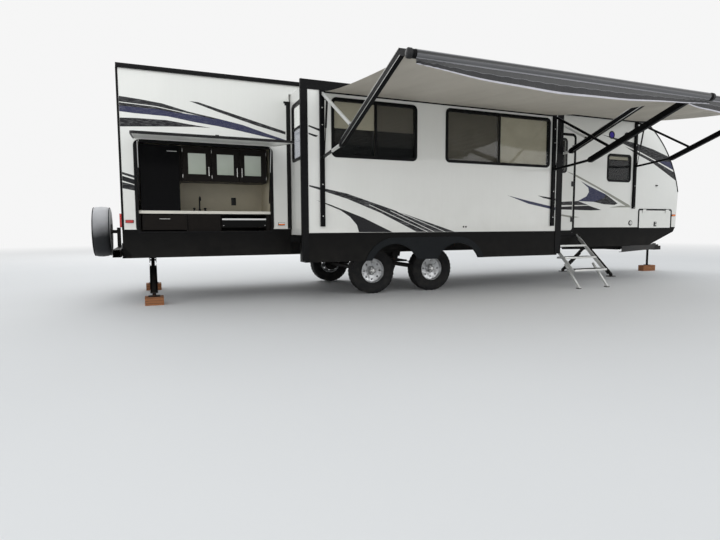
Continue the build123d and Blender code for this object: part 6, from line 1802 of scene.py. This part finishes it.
class CARAVAN_OT_roof_fittings(bpy.types.Operator):
    """Add louvres, lid ribs and seams to the pieces on the roof"""

    bl_idname = "caravan.roof_fittings"
    bl_label = "Roof fittings"

    def execute(self, context):
        louvres, ribs, seams = Shape(), Shape(), Shape()
        x = REAR_X + COOLER_X
        for side in (-1, 1):
            y = MID_Y + side * 0.35
            for row in range(6):
                z = ROOF_Z + 0.05 + row * 0.026
                louvres.slab((x - 0.34, y - side * 0.004, z), (x + 0.34, y + side * 0.007, z + 0.011), 0.003)
        for row in range(5):
            z = ROOF_Z + 0.06 + row * 0.028
            louvres.slab((x - 0.517, MID_Y - 0.2, z), (x - 0.506, MID_Y + 0.2, z + 0.012), 0.003)
        add_piece("cooler_louvres", louvres, "white_plastic", CARAVAN)
        for vent_x, vent_y in ROOF_VENTS:
            for row in range(-2, 3):
                at = Vector((REAR_X + vent_x, MID_Y + vent_y + row * 0.06, ROOF_Z + 0.11))
                slab_round(ribs, at, (-0.14, -0.008, -0.002), (0.14, 0.008, 0.005), 0.002)
        add_piece("vent_ribs", ribs, "white_plastic", CARAVAN)
        for seam_x in ROOF_SEAMS:
            at = Vector((REAR_X + seam_x, MID_Y, ROOF_Z))
            slab_round(seams, at, (-0.03, -1.18, -0.001), (0.03, 1.18, 0.0025), 0.001)
        add_piece("roof_seams", seams, "shell", CARAVAN)
        return {"FINISHED"}


class CARAVAN_OT_lamp_seats(bpy.types.Operator):
    """Add black seats behind the marker and tail lamps"""

    bl_idname = "caravan.lamp_seats"
    bl_label = "Lamp seats"

    def execute(self, context):
        seats = Shape()
        for wall, markers in ((near, NEAR_MARKERS), (far, FAR_MARKERS)):
            for x, z in markers:
                seats.slab(wall(x - 0.049, z - 0.02, 0.003), wall(x + 0.049, z + 0.02), 0.001)
        for y in (MID_Y - 1.05, MID_Y + 1.05):
            seats.slab((REAR_X - 0.004, y - 0.068, 1.052), (REAR_X, y + 0.068, 1.248), 0.0015)
        add_piece("lamp_seats", seats, "black_plastic", CARAVAN)
        return {"FINISHED"}


class CARAVAN_OT_leg_channels(bpy.types.Operator):
    """Add the wide folded channels on the four stabiliser legs"""

    bl_idname = "caravan.leg_channels"
    bl_label = "Leg channels"

    def execute(self, context):
        for leg, way in (("rear_near", -1), ("rear_far", 1), ("front_near", -1), ("front_far", 1)):
            low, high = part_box("stabiliser_" + leg)
            x = (low[0] + high[0]) / 2
            outer = low[1] if way < 0 else high[1]
            start = Vector((x, MID_Y + way * 0.09, high[2] - 0.023))
            toe = Vector((x, outer - way * 0.055, low[2] + 0.044))
            along = (toe - start).normalized()
            inward = Vector((0, along.z, -along.y)) * -way
            if inward.y * way > 0:
                inward = -inward
            first, last = start.lerp(toe, 0.2), start.lerp(toe, 0.95)
            shift = inward * CHANNEL_OUT
            channel = Shape().beam(first + shift, last + shift, CHANNEL_WIDTH, CHANNEL_SHEET, 0.001)
            lip = (CHANNEL_WIDTH - CHANNEL_SHEET) / 2
            for dx in (-lip, lip):
                shift = inward * 0.012 + Vector((dx, 0, 0))
                channel.beam(first + shift, last + shift, CHANNEL_SHEET, CHANNEL_DEPTH, 0.001)
            add_piece("leg_channel_" + leg, channel, "chassis", "leg_" + leg)
        return {"FINISHED"}


# The add-on


STEPS_OF_WORK = (
    CARAVAN_OT_stage,
    CARAVAN_OT_finishes,
    CARAVAN_OT_stripes,
    CARAVAN_OT_edge_trims,
    CARAVAN_OT_wall_fittings,
    CARAVAN_OT_window_insides,
    CARAVAN_OT_kitchen,
    CARAVAN_OT_awning_cloth,
    CARAVAN_OT_awning_metal,
    CARAVAN_OT_wheels,
    CARAVAN_OT_spare_cover,
    CARAVAN_OT_steps,
    CARAVAN_OT_roof_fittings,
    CARAVAN_OT_lamp_seats,
    CARAVAN_OT_leg_channels,
)


class CARAVAN_PT_panel(bpy.types.Panel):
    """Sizes, colours and building steps of the caravan"""

    bl_idname = "CARAVAN_PT_panel"
    bl_label = "Travel caravan"
    bl_space_type = "VIEW_3D"
    bl_region_type = "UI"
    bl_category = "Caravan"

    def draw(self, context):
        for group in (context.scene.caravan_sizes, context.scene.caravan_colours):
            box = self.layout.box()
            for key in group.__annotations__:
                box.prop(group, key)
        for step in STEPS_OF_WORK:
            self.layout.operator(step.bl_idname)


CLASSES = (CaravanColours, CaravanSizes, *STEPS_OF_WORK, CARAVAN_PT_panel)


def register():
    for cls in CLASSES:
        bpy.utils.register_class(cls)
    bpy.types.Scene.caravan_colours = bpy.props.PointerProperty(type=CaravanColours)
    bpy.types.Scene.caravan_sizes = bpy.props.PointerProperty(type=CaravanSizes)


def unregister():
    del bpy.types.Scene.caravan_sizes
    del bpy.types.Scene.caravan_colours
    for cls in reversed(CLASSES):
        bpy.utils.unregister_class(cls)


def main():
    register()
    for step in STEPS_OF_WORK:
        group, name = step.bl_idname.split(".")
        getattr(getattr(bpy.ops, group), name)()


if __name__ == "__main__":
    main()
